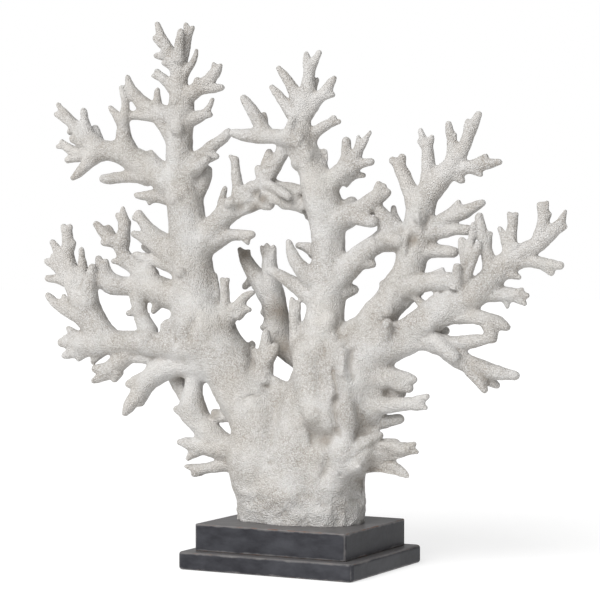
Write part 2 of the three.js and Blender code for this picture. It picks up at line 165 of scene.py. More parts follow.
# Each branch is a row of stations (across the fan, forward of its middle sheet, up, radius), in
# millimetres, from its root to its tip. They are grouped by the piece of coral they belong to, in
# the order in which the pieces branch off.
BRANCHES = {
    # Trunk: columns grown together, ribs down the front, short hands on both flanks.
    "trunk": [
        [(-28, -4, 45, 36.5), (-28, -4, 60, 37.5), (-27, -4, 70, 36), (-31, -3, 82, 39),
         (-34, -2, 92, 38.5), (-37, 0, 105, 38), (-38, 0, 120, 35.5), (-38.5, 0, 135, 32.5),
         (-43, 0, 148, 32), (-48, 0, 160, 30), (-57, 0, 174, 31), (-66, 0, 190, 30),
         (-70, 0, 198, 29)],
        [(0, 0, 45, 41), (0, 0, 65, 41), (2, 0, 90, 41), (5, 1, 115, 39), (8, 1, 132, 36),
         (10, 2, 150, 34), (11, 2, 170, 30), (14, 0, 190, 24), (16, 0, 198, 22)],
        [(26, -2, 45, 38), (26, -2, 60, 38.5), (27, -2, 75, 38.5), (28, -2, 90, 37),
         (31, 0, 108, 37), (36, 2, 125, 37), (39, 4, 140, 35.5), (42, 5, 155, 35),
         (46, 6, 170, 32), (49, 7, 185, 31.5), (53, 8, 200, 33)],
        [(6, 12, 230, 14), (8, 15, 212, 17), (10, 18, 196, 18.5), (12, 20, 180, 19),
         (14, 25, 166, 18.5), (15, 30, 156, 15.5)],
        [(43, 12, 204, 11), (44, 19, 188, 13), (44, 22, 170, 13.5), (44, 24, 150, 13.5),
         (43, 25, 128, 14), (40, 22, 104, 15)],
        [(70, 6, 205, 18), (71, 8, 180, 15), (70, 8, 158, 13.5)],
        [(-60, 2, 100, 14), (-76, 4, 99, 8.5), (-90, 6, 95.5, 6.2), (-100, 6, 93.7, 6),
         (-106, 6, 92.5, 6)],
        [(-104, 6, 94, 5), (-117, 6, 95.2, 2.6)],
        [(-102, 6, 92, 5.5), (-108.5, 6, 88.3, 4)],
        [(-64, 4, 116, 14), (-84, 6, 116, 12), (-98, 8, 116.5, 9.5), (-108, 9, 117.5, 8),
         (-117, 9, 119.8, 6.2), (-124, 9, 120.5, 3.8)],
        [(-104, 9, 113, 7), (-112, 9, 107, 4.8), (-115, 9, 103.8, 3.2)],
        [(-92, 6, 128, 12), (-103, 6, 128, 5.5)],
        [(60, 10, 196, 20), (84, 12, 193.5, 12.5), (95, 13, 193, 9), (104, 13, 192.5, 6.5),
         (110, 13, 191.8, 4.6)],
        [(90, 12, 191, 9), (102, 12, 185.5, 7.5), (105.5, 12, 183.5, 5)],
        [(92, 6, 188, 7), (92, 3, 180, 8), (97.5, 3, 177.5, 6)],
        [(60, 10, 165, 16), (84, 14, 165.5, 9), (98, 15, 167.5, 7), (110, 15, 168.5, 6)],
        [(108, 15, 169, 5.5), (118, 15, 173, 4.5), (123, 15, 175.8, 2.6)],
        [(108, 15, 166.5, 5), (118, 15, 165.5, 4), (121.5, 15, 164.6, 2.9)],
        [(60, 2, 147, 12), (80, 2, 147.5, 7), (93, 1, 150.8, 5.6), (97, 1, 151.5, 4.9)],
        [(56, 8, 136, 12), (70, 11, 136.5, 7), (74.5, 11, 137.5, 4.6)],
        [(50, 8, 112, 22), (70, 13, 116, 15), (86, 15, 120, 10.5), (97, 15, 122.5, 8),
         (105, 15, 124, 6.6)],
        [(102, 15, 125.5, 5.2), (111, 15, 129, 2.9)],
        [(103, 15, 122.8, 5), (113, 15, 121.3, 2.7)],
        [(70, 9, 121, 9), (86, 10, 127.5, 5.2), (94, 10, 130, 2.8)],
        [(62, 10, 112, 16), (80, 13, 107.5, 9), (90, 13, 104.3, 6.8), (98, 13, 101, 5.2),
         (104, 13, 97.2, 3)],
        [(-24, 0, 140, 22), (-22, 0, 170, 15)],
        [(-90, 5, 148, 7), (-76, 3, 148, 6.5), (-66, 2, 147, 7)],
        [(-38, 8, 184, 11), (-36.5, 8, 196, 9.4), (-35.5, 8, 212, 8.2), (-35, 7, 228, 5.6),
         (-35, 6, 234, 4)],
        [(10, -30, 52, 22), (8, -30, 100, 18), (6, -22, 150, 14)],
        [(-30, -26, 108, 15), (-33, -46, 115, 8.5), (-34, -55, 121, 5.2)],
        [(36, -22, 140, 15), (38, -44, 150, 8), (38, -53, 157, 4.8)],
        [(-34, -18, 160, 13), (-38, -37, 170, 6.5), (-38, -43, 175, 4.4)],
        [(48, 24, 121, 10), (60, 26, 128, 7), (70, 22, 133, 5.6), (76.5, 17, 136, 4.6)],
        [(44, 26, 104, 10), (56, 28, 105, 6.5)],
        [(40, 24, 190, 10), (40.5, 31, 206, 7.4), (40.5, 34, 220, 5.6)],
        [(-36, 9, 204, 7.5), (-28, 12, 215, 5.6), (-25.5, 12, 221, 4.4)],
        [(-12, 6, 176, 9), (-21, 8, 181, 6.5), (-26, 9, 187, 4.2)],
        [(-38, 9, 206, 7), (-46, 12, 212, 4.6), (-48, 12, 217, 3.6)],
    ],
    # Limb that leaves the left flank, rises clear of the trunk and meets the left tower again.
    "left_loop": [
        [(-74, 4, 117, 12), (-91, 6, 130, 12), (-104, 6, 144, 13.5), (-110, 6, 154, 15.5),
         (-110.5, 5, 167, 12), (-109, 4, 182, 10), (-106, 2, 200, 14)],
        [(-114, 7, 150, 10), (-126.5, 8, 153.6, 4.2)],
        [(-113, -5, 158, 9), (-122, -10, 172, 8), (-127, -11, 183, 9), (-131, -7, 194, 8.5)],
    ],
    # Left tower: the tallest stem as far as its crown, with its own short twigs.
    "left_tower": [
        [(-70, 0, 196, 29), (-87, 0, 218, 29.5), (-101, 0, 240, 33), (-106, 0, 268, 24.5),
         (-110.5, 0, 295, 22), (-113, 0, 320, 20.5), (-116, 0, 345, 20.5), (-119, 0, 370, 19.5),
         (-122, 0, 395, 16)],
        [(-122, 0, 366, 12), (-125, 15, 368, 9)],
        [(-116, 2, 293, 13), (-121, 22, 294, 7)],
        [(-134, 0, 372, 11), (-154, 0, 372, 6.3), (-165, 0, 372.3, 4.3), (-169.5, 0, 373, 3.6)],
        [(-150, 0, 371, 5.5), (-155.5, 0, 364.5, 2.8)],
        [(-98, 0, 322, 14), (-84, 0, 328, 10), (-70, 0, 331.5, 6.5), (-58, 0, 332, 5.5),
         (-49, 0, 332.5, 4)],
        [(-57, 0, 330, 5), (-53.5, 0, 324.5, 2.8)],
        [(-84, 0, 255, 6), (-86, 2, 272, 5), (-89, -4, 290, 4)],
        [(-80, 6, 238, 12), (-77, 8, 258, 6), (-77, 8, 275, 5), (-77, 8, 284, 4.4)],
        [(-77.5, 8, 282, 4), (-79.5, 8, 286.5, 3)],
        [(-76, 8, 282, 4), (-73.8, 8, 286.5, 2.8)],
        [(-74, 4, 247, 10), (-62, 6, 262, 6), (-54, 4, 271, 4.5), (-48.5, 2, 273.8, 3.2)],
        [(-66, 6, 250, 7), (-56, 6, 257, 4.5), (-52, 6, 257, 3.2)],
        [(-58, -14, 204, 14), (-50, -22, 220, 4.2)],
        [(-116, 2, 396, 11), (-103, 8, 402, 6.5), (-95.5, 11, 408, 5)],
        [(-110, -4, 372, 12), (-99, -8, 388, 8.3), (-95.5, -9, 397.5, 5.3)],
        [(-101, -22, 240, 15), (-98, -43, 252, 9), (-100, -56, 265, 6), (-104, -60, 274, 4.4)],
        [(-113, -12, 320, 10), (-112, -29, 330, 6.2), (-113, -36, 337, 4.2)],
    ],
    # Crown of the left tower, with the highest tip of the coral.
    "left_crown": [
        [(-122, 0, 395, 16), (-124, 0, 420, 14.3), (-123, 0, 445, 14.2), (-122.5, 0, 465, 13.5),
         (-124, 0, 482, 9.8), (-125, 0, 500, 9), (-127, 0, 510, 8.5)],
        [(-129, 0, 508, 8), (-137, 0, 523, 6.5), (-143, 0, 536, 5), (-147, 0, 547, 3)],
        [(-142, 0, 527, 5), (-149, 0, 533, 3.5)],
        [(-136, 0, 514, 5.5), (-148, 0, 515, 3.5)],
        [(-130, 2, 504, 6), (-139, 8, 507, 4)],
        [(-125, 4, 508, 8), (-123.5, 6, 525, 5), (-122, 6, 538, 4)],
        [(-122, -2, 508, 7), (-117, -6, 526, 5.5), (-114.5, -6, 538, 5)],
        [(-115.5, -6, 537, 4.6), (-117.3, -6, 546, 3)],
        [(-114, -6, 536, 4.4), (-110.3, -6, 543, 2.7)],
        [(-120, 0, 496, 6.5), (-111, 0, 506, 4), (-107, 0, 514, 3), (-106, 0, 519.5, 2.5)],
        [(-126, 0, 478, 8), (-141, 0, 492, 5.2)],
        [(-140, 0, 491, 4.8), (-147.5, 0, 499.5, 3)],
        [(-141, 0, 492, 4.5), (-151, 0, 494.5, 3)],
        [(-120, 0, 471, 10), (-108, 0, 478, 8.2), (-97, 0, 485, 7), (-89, 0, 494, 6),
         (-85, 0, 498.5, 5.3)],
        [(-87, 0, 499, 4.2), (-88.3, 0, 505.5, 2.6)],
        [(-85, 0, 499, 4.2), (-81.5, 0, 503.5, 2.8)],
        [(-102, 0, 480.5, 7), (-90, 0, 480.3, 5), (-80.5, 0, 481, 3.2)],
        [(-105, 2, 481, 6), (-105, 5, 488, 4)],
        [(-118, 0, 448, 10), (-106, 0, 451, 7), (-97, 0, 454, 5)],
        [(-99, 0, 453, 5), (-93, 0, 462, 3.5), (-89.8, 0, 469, 2.8)],
        [(-98, 0, 453.5, 4.8), (-91.5, 0, 453.5, 3.2)],
        [(-124, 0, 437, 10), (-125, 14, 439, 7.5)],
        [(-126, 0, 467, 9), (-127.5, 10, 467, 6)],
        [(-118, -1, 404, 12), (-105, -2, 409, 9.4), (-96, -3, 416.5, 7.2), (-87, -4, 424.5, 6),
         (-79, -5, 430, 5.4), (-73.5, -5, 435.5, 4.3)],
        [(-100, -1, 408.5, 7.5), (-90, 0, 411, 5), (-86, 0, 411.3, 3.7)],
    ],
    # Small arm that leaves the crown to the left.
    "upper_left_arm": [
        [(-124, 0, 450, 12), (-140, 0, 455, 10.5), (-150, 0, 457, 8.8)],
        [(-146, 0, 454.5, 9), (-157, 0, 455.5, 7.2), (-168, 0, 455, 5.4), (-179, 0, 454.5, 5)],
        [(-146, 0, 457, 9), (-159, 0, 464, 8), (-170.5, 0, 475.5, 6.8), (-177, 0, 487.5, 4.8),
         (-178.6, 0, 494, 3.2)],
        [(-148, 0, 458, 7.5), (-147, 0, 472, 4.3), (-147, 0, 480, 3.3)],
        [(-128, 0, 422, 9), (-134, 0, 436, 9), (-143, 0, 449, 8)],
    ],
    # Long left arm with a hand of fingers at its end.
    "left_arm": [
        [(-120, 0, 383, 16), (-134, 0, 387, 16), (-148, 0, 396, 15), (-168, 0, 407, 13.5),
         (-184, 0, 415.5, 12.3), (-200, 0, 419, 11), (-212, 0, 421, 10.5)],
        [(-180, 0, 418, 12.5), (-183, 0, 432, 8.8), (-183, 2, 443, 7.2), (-183, 4, 451, 7)],
        [(-183, 4, 448, 7.5), (-180.5, 6, 460, 5.2), (-181, 6, 470, 4.5), (-184.3, 6, 482.5, 3.6)],
        [(-184, 3, 447, 7.5), (-191, 2, 456.5, 5), (-196.5, 2, 462.5, 3.3)],
        [(-152, 0, 408, 8), (-154.3, -2, 416, 3.6)],
        [(-208, 0, 420, 11), (-226, 0, 436, 9), (-238, 0, 448, 6.5), (-247, 0, 459, 4.5),
         (-253.5, 0, 467.3, 2.9)],
        [(-242, 0, 451, 5.5), (-255.5, 0, 457.3, 3.2)],
        [(-221, 0, 434, 8), (-225, 0, 450, 4.9), (-225.5, 0, 460, 3.9)],
        [(-211, -6, 427, 7), (-214.5, -14, 442.5, 3.8)],
        [(-236, 0, 442, 6), (-241, 0, 438.5, 3.6)],
        [(-224, 2, 428, 9), (-235, 8, 431.5, 5.5)],
        [(-204, 0, 416, 10), (-222, 0, 416, 8), (-236, 0, 418.5, 6.2), (-248, 0, 425.5, 4.6)],
        [(-244, 0, 423, 4.6), (-250, 0, 429, 3)],
        [(-246, 0, 424.5, 4.2), (-254.5, 0, 423.5, 3)],
        [(-230, 0, 414, 7), (-243.5, 0, 409.3, 3.6)],
        [(-228, 0, 413, 6), (-235.5, 0, 410.5, 3.6)],
        [(-212, 2, 415, 10), (-222, 5, 405, 7), (-231, 6, 395, 4.6), (-237.3, 6, 390.5, 3.2)],
        [(-156, 0, 393, 13), (-172, 0, 392.5, 8), (-186, 0, 391, 6.4), (-198, 0, 390, 5.7),
         (-204.5, 0, 389.5, 4.6)],
        [(-150, -6, 397, 9), (-152, -20, 404, 5.4), (-153, -25, 409, 3.9)],
    ],
    # Arm from the left tower across the middle gap, with fingers standing on it.
    "crossing_arm": [
        [(-104, 0, 322, 18), (-96, 0, 330, 16), (-88, 0, 340, 13), (-76, 0, 352, 11.5),
         (-62, 0, 361, 11), (-48, 0, 366, 10.5), (-38, 2, 367, 8.6), (-31, 5, 363, 5.6)],
        [(-50, 0, 368, 9.5), (-38, 0, 384, 8.5), (-29, 0, 397, 7.5), (-21, 0, 410, 7.5),
         (-15, 0, 424, 8), (-12, 0, 434, 7)],
        [(-34, 0, 394, 7), (-34, 0, 408, 4.8), (-31.7, 0, 415.5, 3.8)],
        [(-38, 0, 388, 7), (-43, 0, 398.5, 3.7)],
        [(-62, 0, 366, 9), (-64, 0, 382, 6), (-66, 0, 398, 5.2), (-66.5, 0, 408, 4.9)],
        [(-67.5, 0, 407, 4), (-71, 0, 411.5, 2.7)],
        [(-80, 0, 356, 7), (-79, 0, 370, 3.9), (-76.7, 0, 379.7, 3.2)],
        [(-69.7, 2, 361.2, 9.1), (-70.2, 9, 364.3, 7.1)],
        [(-52.3, 2, 364.2, 8.1), (-51.3, 10, 367.3, 4.4)],
        [(-37.1, 6, 383.3, 7), (-26.9, 12, 379.7, 5), (-18.9, 16, 374.7, 4.8),
         (-12.3, 18, 370.6, 4.2)],
        [(-60, 0, 369, 9), (-48, 0, 378, 9.5)],
        [(-36, 4, 361.2, 6.5), (-33.5, 11, 366, 3.7)],
        [(-40.1, 2, 364.2, 7.1), (-32, 3, 360.7, 4.7)],
        [(-39.1, 8, 371.2, 6), (-29, 11, 368.2, 5.4), (-20.9, 9, 365.2, 4.6)],
        [(-31, 8, 377.3, 5), (-21.9, 6, 372.2, 4.6), (-14.8, 5, 368.1, 4.2)],
    ],
    # Middle limb on the left, which forks twice.
    "left_mid_limb": [
        [(-110, 0, 264, 20), (-130, 0, 269, 16), (-150, 0, 276, 15), (-168, 0, 279, 11.5),
         (-184, 0, 278.3, 10), (-198, -2, 281, 12), (-204, -3, 290, 10), (-205.5, -4, 298, 7.2)],
        [(-207, -4, 297, 6.5), (-211, -6, 306.5, 4.4)],
        [(-162, 0, 292, 11), (-176, 0, 300, 7), (-188, 0, 304, 4.8), (-194.5, 0, 304, 3.5)],
        [(-167, 2, 270, 11), (-166.5, 4, 260, 9), (-165, 4, 251, 8), (-161.5, 4, 242, 8.3),
         (-157, 4, 232, 11)],
        [(-170, 3, 253, 6), (-178.5, 2, 250.6, 3)],
        [(-144, 0, 266, 10), (-149, 0, 257, 5), (-151.5, 0, 253, 3.4)],
        [(-203, -4, 297, 6), (-202.5, -4, 303.3, 4.4)],
        [(-153.1, 0, 284.2, 13.4), (-168, 0, 296.4, 9.8), (-178.1, 0, 305.6, 7.7),
         (-184.1, 0, 312.8, 7.5), (-185.6, 0, 321.1, 8.9), (-184, 0, 328.3, 8.3),
         (-182.6, 0, 336.6, 6.8), (-182.6, 0, 344.9, 6.4), (-183.3, 1, 352.1, 4.3),
         (-183.6, 1, 358.9, 3)],
        [(-185.1, 1, 348, 5.2), (-189.6, 1, 352.1, 2.7)],
        [(-181.8, -3, 336.6, 6.2), (-177.9, -4, 344.4, 3.4)],
        [(-186.1, 0, 321.1, 8.3), (-195.8, 0, 326.7, 6.8), (-203.9, 0, 333.4, 5.6),
         (-210.4, 0, 340.2, 4.4), (-212.8, 0, 342.6, 3.7)],
        [(-195.8, -5, 329.3, 5.2), (-200.6, -7, 339.2, 3.7)],
        [(-194.7, 1, 325.2, 7.3), (-203.3, 2, 323.6, 4.6)],
        [(-119.4, 6, 293.8, 12.3), (-129.9, 6, 298.3, 7.7), (-141.5, 4, 302.8, 6.6),
         (-153.1, 4, 306.3, 5.8), (-162.7, 4, 308.8, 4.7), (-170.6, 4, 311.3, 3.6)],
        [(-155.2, 2, 303.7, 6.2), (-159.5, 0, 293.4, 10.3)],
    ],
    # Single thick finger above the middle limb.
    "left_mid_finger": [
        [(-117.3, 1, 309.2, 16.4), (-134.1, 1, 319.3, 12.8), (-147.8, 2, 329.5, 9.3),
         (-157.3, 2, 339.2, 6.8), (-163.9, 2, 348, 5.8), (-167.1, 1, 353.2, 4.5)],
        [(-164.8, 1, 348, 5.2), (-171.6, 1, 349.2, 3.1)],
        [(-125.7, 3, 308.1, 11.3), (-138.3, 4, 315.2, 9.9), (-149.9, 4, 321.3, 7.8),
         (-158.4, 4, 326.4, 6.4), (-166.4, 4, 330.9, 4.7), (-171.7, 4, 332.5, 3.7)],
        [(-144.6, -6, 310, 7.2), (-155.2, -9, 315.1, 4.9), (-161.6, -10, 319.1, 4.3)],
    ],
    # Low left limb, the furthest out, ending in a fan of fingers.
    "far_left_limb": [
        [(-96, 12, 222, 22), (-128, 12, 219, 15), (-150, 12, 220, 12.5), (-175, 10, 221, 12),
         (-192, 8, 220, 13.5), (-207, 4, 229, 15), (-218, 0, 246, 14.5), (-225, 0, 265, 14)],
        [(-134, 12, 226, 12), (-136, 15, 238, 8)],
        [(-221, 3, 256, 12.5), (-219, 8, 280, 8), (-216, 10, 297, 5)],
        [(-225, 0, 272, 10), (-227.5, 2, 300, 5.6), (-228.3, 2, 316, 3.4)],
        [(-228, 0, 262, 13), (-239, 0, 288, 10.5), (-243.5, 0, 308, 7.6), (-244, 0, 326, 6.6),
         (-244.3, 0, 335, 6)],
        [(-246, 0, 334, 4.5), (-247.8, 0, 339.7, 3.3)],
        [(-243, 0, 334, 4.5), (-241, 0, 340, 3.1)],
        [(-241, 0, 318, 6), (-238.3, 0, 322.5, 4.2)],
        [(-243, 0, 296, 9), (-252.5, 0, 311, 5.6), (-259.8, 0, 323.5, 3.7)],
        [(-241, 0, 288, 9), (-257, 0, 299, 5), (-266.5, 0, 303.3, 3.3)],
        [(-255, 0, 300, 4.6), (-259.7, 0, 308.7, 2.8)],
        [(-234, 0, 279, 10), (-252, 0, 285, 5.6), (-265.5, 0, 285.5, 3.6)],
        [(-216, 0, 240, 14), (-235, 0, 250, 10), (-250, 0, 256.5, 7.4), (-261, 0, 262.5, 5),
         (-265.5, 0, 267.3, 3.6)],
        [(-245, 0, 257, 6.5), (-248, 0, 267, 3)],
        [(-104, 4, 226, 20), (-124, 4, 236, 9)],
        [(-158, 4, 220, 9), (-162, -12, 226, 5.6), (-164, -18, 231, 4)],
        [(-118, 14, 228, 14), (-120, 20, 235, 8.5)],
        [(-152, 14, 222, 11), (-156, 20, 226, 7.5)],
    ],
    # Hand that opens from the end of the low left limb.
    "far_left_hand": [
        [(-200, 8, 220, 12.5), (-213, 6, 217.5, 12.5), (-226, 4, 217.5, 11.5)],
        [(-224, 3, 221, 10), (-236, 2, 227.5, 6), (-243, 2, 233.5, 3.6)],
        [(-226, 3, 217, 9.5), (-240, 2, 218.3, 7.2), (-250, 2, 218.5, 5)],
        [(-242, 2, 220, 6), (-246.5, 2, 224.5, 3.6)],
        [(-226, 3, 213, 9), (-240, 2, 207.5, 6.3), (-247, 2, 205, 4.2)],
        [(-222, 3, 213, 8.5), (-229, 3, 205, 5.2), (-231.5, 3, 202, 3.9)],
        [(-207, 6, 213, 8.5), (-212, 5, 206, 5.6), (-215.5, 5, 200.3, 3.6)],
    ],
    # Second, smaller hand under the low left limb.
    "far_left_low_hand": [
        [(-174, 8, 211, 10.5), (-186, 8, 202, 10), (-195, 8, 194, 9), (-202, 8, 189.5, 8)],
        [(-202, 8, 193, 6.6), (-213, 8, 192.3, 4.2)],
        [(-200, 8, 188, 7.3), (-209, 8, 183, 5.2), (-215, 8, 179.7, 3.5)],
        [(-190, 8, 191, 7.5), (-192, 8, 184.5, 5.2), (-192.5, 8, 182.3, 3.8)],
    ],
    # Limb under the low left limb, hanging down at its end.
    "lower_left_limb": [
        [(-96, 2, 200, 20), (-118, 4, 200, 15), (-134, 6, 198, 13.5), (-146, 7, 191.5, 12.8),
         (-156, 8, 182.5, 11.5), (-163, 8, 173.5, 10), (-168, 8, 165, 9.4)],
        [(-156, 8, 184.5, 9), (-169, 8, 180.5, 7), (-177, 8, 177.5, 4.4)],
        [(-167.5, 9, 167, 9), (-175, 10, 158, 7.4), (-179, 10, 151, 5.4), (-181, 10, 148, 3.8)],
        [(-165, 6, 168, 9), (-165, 6, 161.5, 6.6), (-165.5, 6, 159, 4.8)],
        [(-126, 5, 203, 9), (-150, 6, 204, 5.5), (-172, 8, 206, 7)],
    ],
    # Centre tower as far as its crown.
    "centre_tower": [
        [(14, 0, 190, 22), (19, 0, 225, 22.5), (24, 0, 250, 20), (27, 0, 275, 19),
         (28, 0, 300, 17.5), (27.5, 0, 325, 17), (26, 0, 345, 18), (22, 0, 365, 19.5),
         (16, 0, 385, 16.5), (9, 0, 405, 14)],
        [(10, 14, 198, 18), (20, 14, 225, 13), (28, 12, 250, 9)],
        [(28, 6, 232, 14), (31, 20, 224, 8)],
        [(14, 6, 288, 12), (2, 8, 297, 9), (-6, 8, 308, 6.5), (-10, 8, 318, 5),
         (-12, 8, 325.5, 3.4)],
        [(16, -4, 315, 9), (4, -6, 320.3, 4.8), (-2.5, -6, 321.5, 3.4)],
        [(16, 2, 268, 12), (2, 2, 278, 9.5), (-10, 2, 285, 7.5), (-22, 2, 292, 6),
         (-30, 0, 296, 5)],
        [(4, 6, 208, 13), (-3, 10, 226, 8.5), (-5.5, 10, 242, 6.5), (-6.5, 10, 255, 5.4)],
        [(-7.5, 10, 255, 4.4), (-9, 10, 267.5, 3.1)],
        [(-5, 10, 254, 4), (-3, 8, 264.3, 2.9)],
        [(32, 0, 286, 16), (47, 0, 300.5, 13), (58, 0, 310.5, 11.5), (68, 0, 319.5, 10.5),
         (80, 0, 326.5, 11), (94, 0, 328, 13)],
        [(60, 0, 306, 8), (70.5, 0, 304, 4.2)],
        [(42, -2, 276, 9), (53, -8, 278, 5)],
        [(1.2, 0, 371.1, 10), (-9.8, -2, 377.1, 7.6), (-18.9, -4, 380.2, 6),
         (-24.9, -6, 383.3, 4.2)],
        [(3.2, 0, 361.1, 9), (-8.8, 4, 362.1, 6.2), (-16.9, 6, 362.1, 5.2)],
        [(-14, 5, 362, 4.5), (-19, 6, 362.7, 4)],
        [(18, -14, 296, 13), (21, -33, 309, 8), (20, -44, 322, 5.4), (19, -47, 330, 4.2)],
        [(12, -8, 352, 10), (10, -24, 361, 5.6), (9, -29, 366, 4)],
        [(78, 6, 327, 9.5), (88, 12, 328.5, 8.6), (95, 16, 327, 6.8)],
    ],
    # Crown of the centre tower, with the arch that reaches to the left.
    "centre_crown": [
        [(9, 0, 405, 14), (3, 0, 422, 13), (-1, 0, 440, 11.5), (0, 0, 455, 11), (4, 0, 463, 11.5)],
        [(3, 0, 458, 11.5), (7, 0, 478, 8.5), (8, 0, 490, 6.4), (9, 0, 500, 6.5)],
        [(7, 0, 500, 5.2), (5.5, 0, 512, 3.4)],
        [(11, 0, 500, 5.2), (18, 0, 513, 3.3)],
        [(8, -4, 464, 6), (13, -8, 480, 4), (16.3, -9, 487, 3.1)],
        [(0, 0, 464, 10), (-9, 0, 480, 6.2), (-16, 0, 491, 5), (-21.7, 0, 498.5, 3.3)],
        [(-3, 0, 449, 10.5), (-15, 0, 463, 6.2), (-23, 0, 473, 5), (-28.7, 0, 480, 3.3)],
        [(3, 0, 453, 10), (15, 0, 466, 7.5), (24, 0, 474, 6.5), (30, 0, 483.5, 4.6),
         (33, 0, 487.3, 3)],
        [(23, 0, 471, 6), (31.2, 0, 471, 3.6)],
        [(4, -4, 422, 12), (14, -4, 434, 7), (24, -4, 440.5, 5.5), (29.5, -4, 443.5, 4.6)],
        [(29, -4, 443.5, 4), (37.8, -4, 444.5, 2.7)],
        [(12, -3, 392, 11), (22, -6, 408, 5.2), (23, -6, 414.5, 4.2)],
        [(-16.9, 9, 428.3, 7.5), (-10.8, 12, 438.3, 5.6), (-8.3, 13, 447.3, 4.4)],
        [(2, 8, 424, 9), (-8, 9, 428, 9.5), (-22, 7, 430.3, 8.3), (-36, 6, 431.5, 7.8),
         (-50, 6, 431.8, 7.4), (-61, 7, 433, 6.5), (-68, 8, 434.6, 4.9)],
        [(-34, 2, 433, 8.5), (-45, 2, 450, 6.5), (-53, 2, 463, 5.6), (-57.7, 2, 469.5, 4.2)],
        [(-38, -4, 441, 6), (-37.5, -9, 452.5, 3.5)],
        [(-8, 2, 424, 8), (0, 0, 408, 10)],
        [(6, 3, 409, 11), (7, 12, 409.5, 5.5)],
        [(-1, 3, 404, 10), (-3, 11, 403, 5.5)],
        [(28, -4, 443, 4), (33, -4, 449, 2.8)],
    ],
    # Forked twig on the right of the centre tower.
    "centre_right_fork": [
        [(22, 0, 374, 14), (35, 0, 389.5, 10), (46, 0, 398, 9)],
        [(43, 0, 396, 8.5), (45, 0, 412, 5.4), (45, 0, 425, 4.9)],
        [(46, 0, 396, 9), (54, 0, 410, 6), (58, 0, 420, 5)],
        [(57, 0, 420, 4.2), (56.6, 0, 429.5, 2.5)],
        [(59, 0, 419, 4.5), (66.3, 0, 430.5, 3), (68.3, 0, 433.5, 2.4)],
        [(47, 0, 396, 8), (60, 0, 402.5, 5), (69.5, 0, 404.5, 4.1)],
        [(42, -4, 387, 9), (54, -6, 391, 3.8), (62, -6, 391.5, 3.3)],
    ],
    # Arm on the right of the centre tower, which passes in front of the right tower.
    "centre_right_arm": [
        [(26, 0, 345, 17), (46, 2, 351, 12.8), (61, 4, 358, 10.3), (72, 4, 366.5, 9.2),
         (78, 4, 372.3, 7.6)],
        [(75.5, 4, 373, 5.8), (76.3, 4, 382.5, 3.6)],
        [(76, 4, 374, 5), (81, 4, 379.6, 3.2)],
        [(76, 4, 369, 7.4), (84.5, 4, 373.8, 4.5)],
        [(54, 4, 352, 10), (64, 12, 346.5, 7), (70, 16, 345.5, 6)],
        [(44, -4, 357, 10), (50, -12, 364, 7)],
    ],
    # Limb behind the middle gap.
    "back_limb": [
        [(4, -16, 206, 13), (-13, -21, 215, 11.5), (-22, -25, 225, 14), (-25, -28, 250, 13.5),
         (-28, -28, 270, 13), (-31, -28, 281, 12)],
        [(-31, -28, 272, 14), (-45, -34, 289, 10), (-54, -38, 302, 7.5), (-58, -40, 310.5, 6.2)],
        [(-58.5, -40, 310, 4.4), (-62.3, -40, 316.5, 3.1)],
        [(-55.5, -40, 310, 4.2), (-54, -40, 314.7, 3)],
        [(-30, -26, 276, 12.5), (-31, -26, 295, 9), (-33, -28, 307, 7)],
        [(-35, -28, 308, 5), (-40, -30, 319.3, 3)],
        [(-33.5, -28, 308, 5), (-34.5, -28, 321, 3.3)],
        [(-30, -27, 303, 5.5), (-28, -26, 318.5, 3.9)],
        [(-46, -35, 291, 7), (-57.5, -42, 278.5, 3.8)],
        [(-24, -29, 244, 11), (-37.5, -34, 252.7, 4.1)],
        [(-24, -18, 232, 8), (-34, -18, 240, 4.2), (-38.5, -18, 238, 3.3)],
        [(-22, -28, 221, 7), (-30, -33, 231, 3.4), (-36.5, -35, 239, 2.9)],
        [(-22, -30, 258, 9), (-35, -36, 262, 4.6), (-37, -37, 258, 3.6)],
    ],
    # Right tower as far as its crown.
    "right_tower": [
        [(56, 2, 204, 24), (66, 0, 224, 20), (73, 0, 246, 19.5), (84, 0, 262, 16.7),
         (95, 0, 280, 16.2), (105, 0, 298, 16), (110, 0, 315, 16.5), (113.5, 0, 332, 16),
         (116, 0, 350, 14.3), (118, 0, 362, 14)],
        [(115, 0, 358, 12.5), (104.5, 0, 382, 7.6), (98.5, 0, 396, 6.8), (95, 0, 402.3, 5.8)],
        [(95, 0, 402, 5.2), (90.3, 0, 405.3, 4.1)],
        [(98.5, -1, 396, 5.6), (99.5, -2, 409, 3.7)],
        [(118, 0, 337, 12), (135, 0, 344, 8.4), (148, 0, 352, 8.2), (160, 0, 356, 7),
         (169.5, 0, 361, 5.4), (175.3, 0, 364, 3.7)],
        [(149, 0, 356, 6.5), (153.3, 0, 364.5, 3)],
        [(116, 0, 333, 12), (138, 0, 336.8, 8), (152, 0, 338, 6), (162.5, 0, 337.2, 4.8)],
        [(108, 0, 313, 13), (128, 0, 317.3, 8), (140, 0, 316.3, 6.6), (148.5, 0, 316, 5.6)],
        [(106, 2, 326, 12), (92, 2, 340, 9), (81, 2, 351, 8), (76.5, 2, 357.5, 6)],
        [(98, -6, 335, 8), (92, -11, 350, 5), (91.5, -12, 359, 2.8)],
        [(116, 2, 351, 11), (115, 15, 350, 6.8)],
        [(90, 0, 284, 9), (81.5, 0, 284, 4.4)],
        [(84, 6, 218, 11), (84.8, 12, 237, 5.7), (84, 13, 247, 4.4)],
        [(96, 2, 280, 13), (111, 5, 284, 11), (123, 7, 286.5, 10), (134, 8, 287.5, 9.8),
         (146, 10, 288.5, 9)],
        [(129, 6, 291, 7), (137.3, 4, 298.5, 3.5)],
        [(84, 4, 262, 11), (85, 16, 258, 7)],
        [(42, -2, 224, 16), (52, -2, 235, 14), (62, -2, 240, 15)],
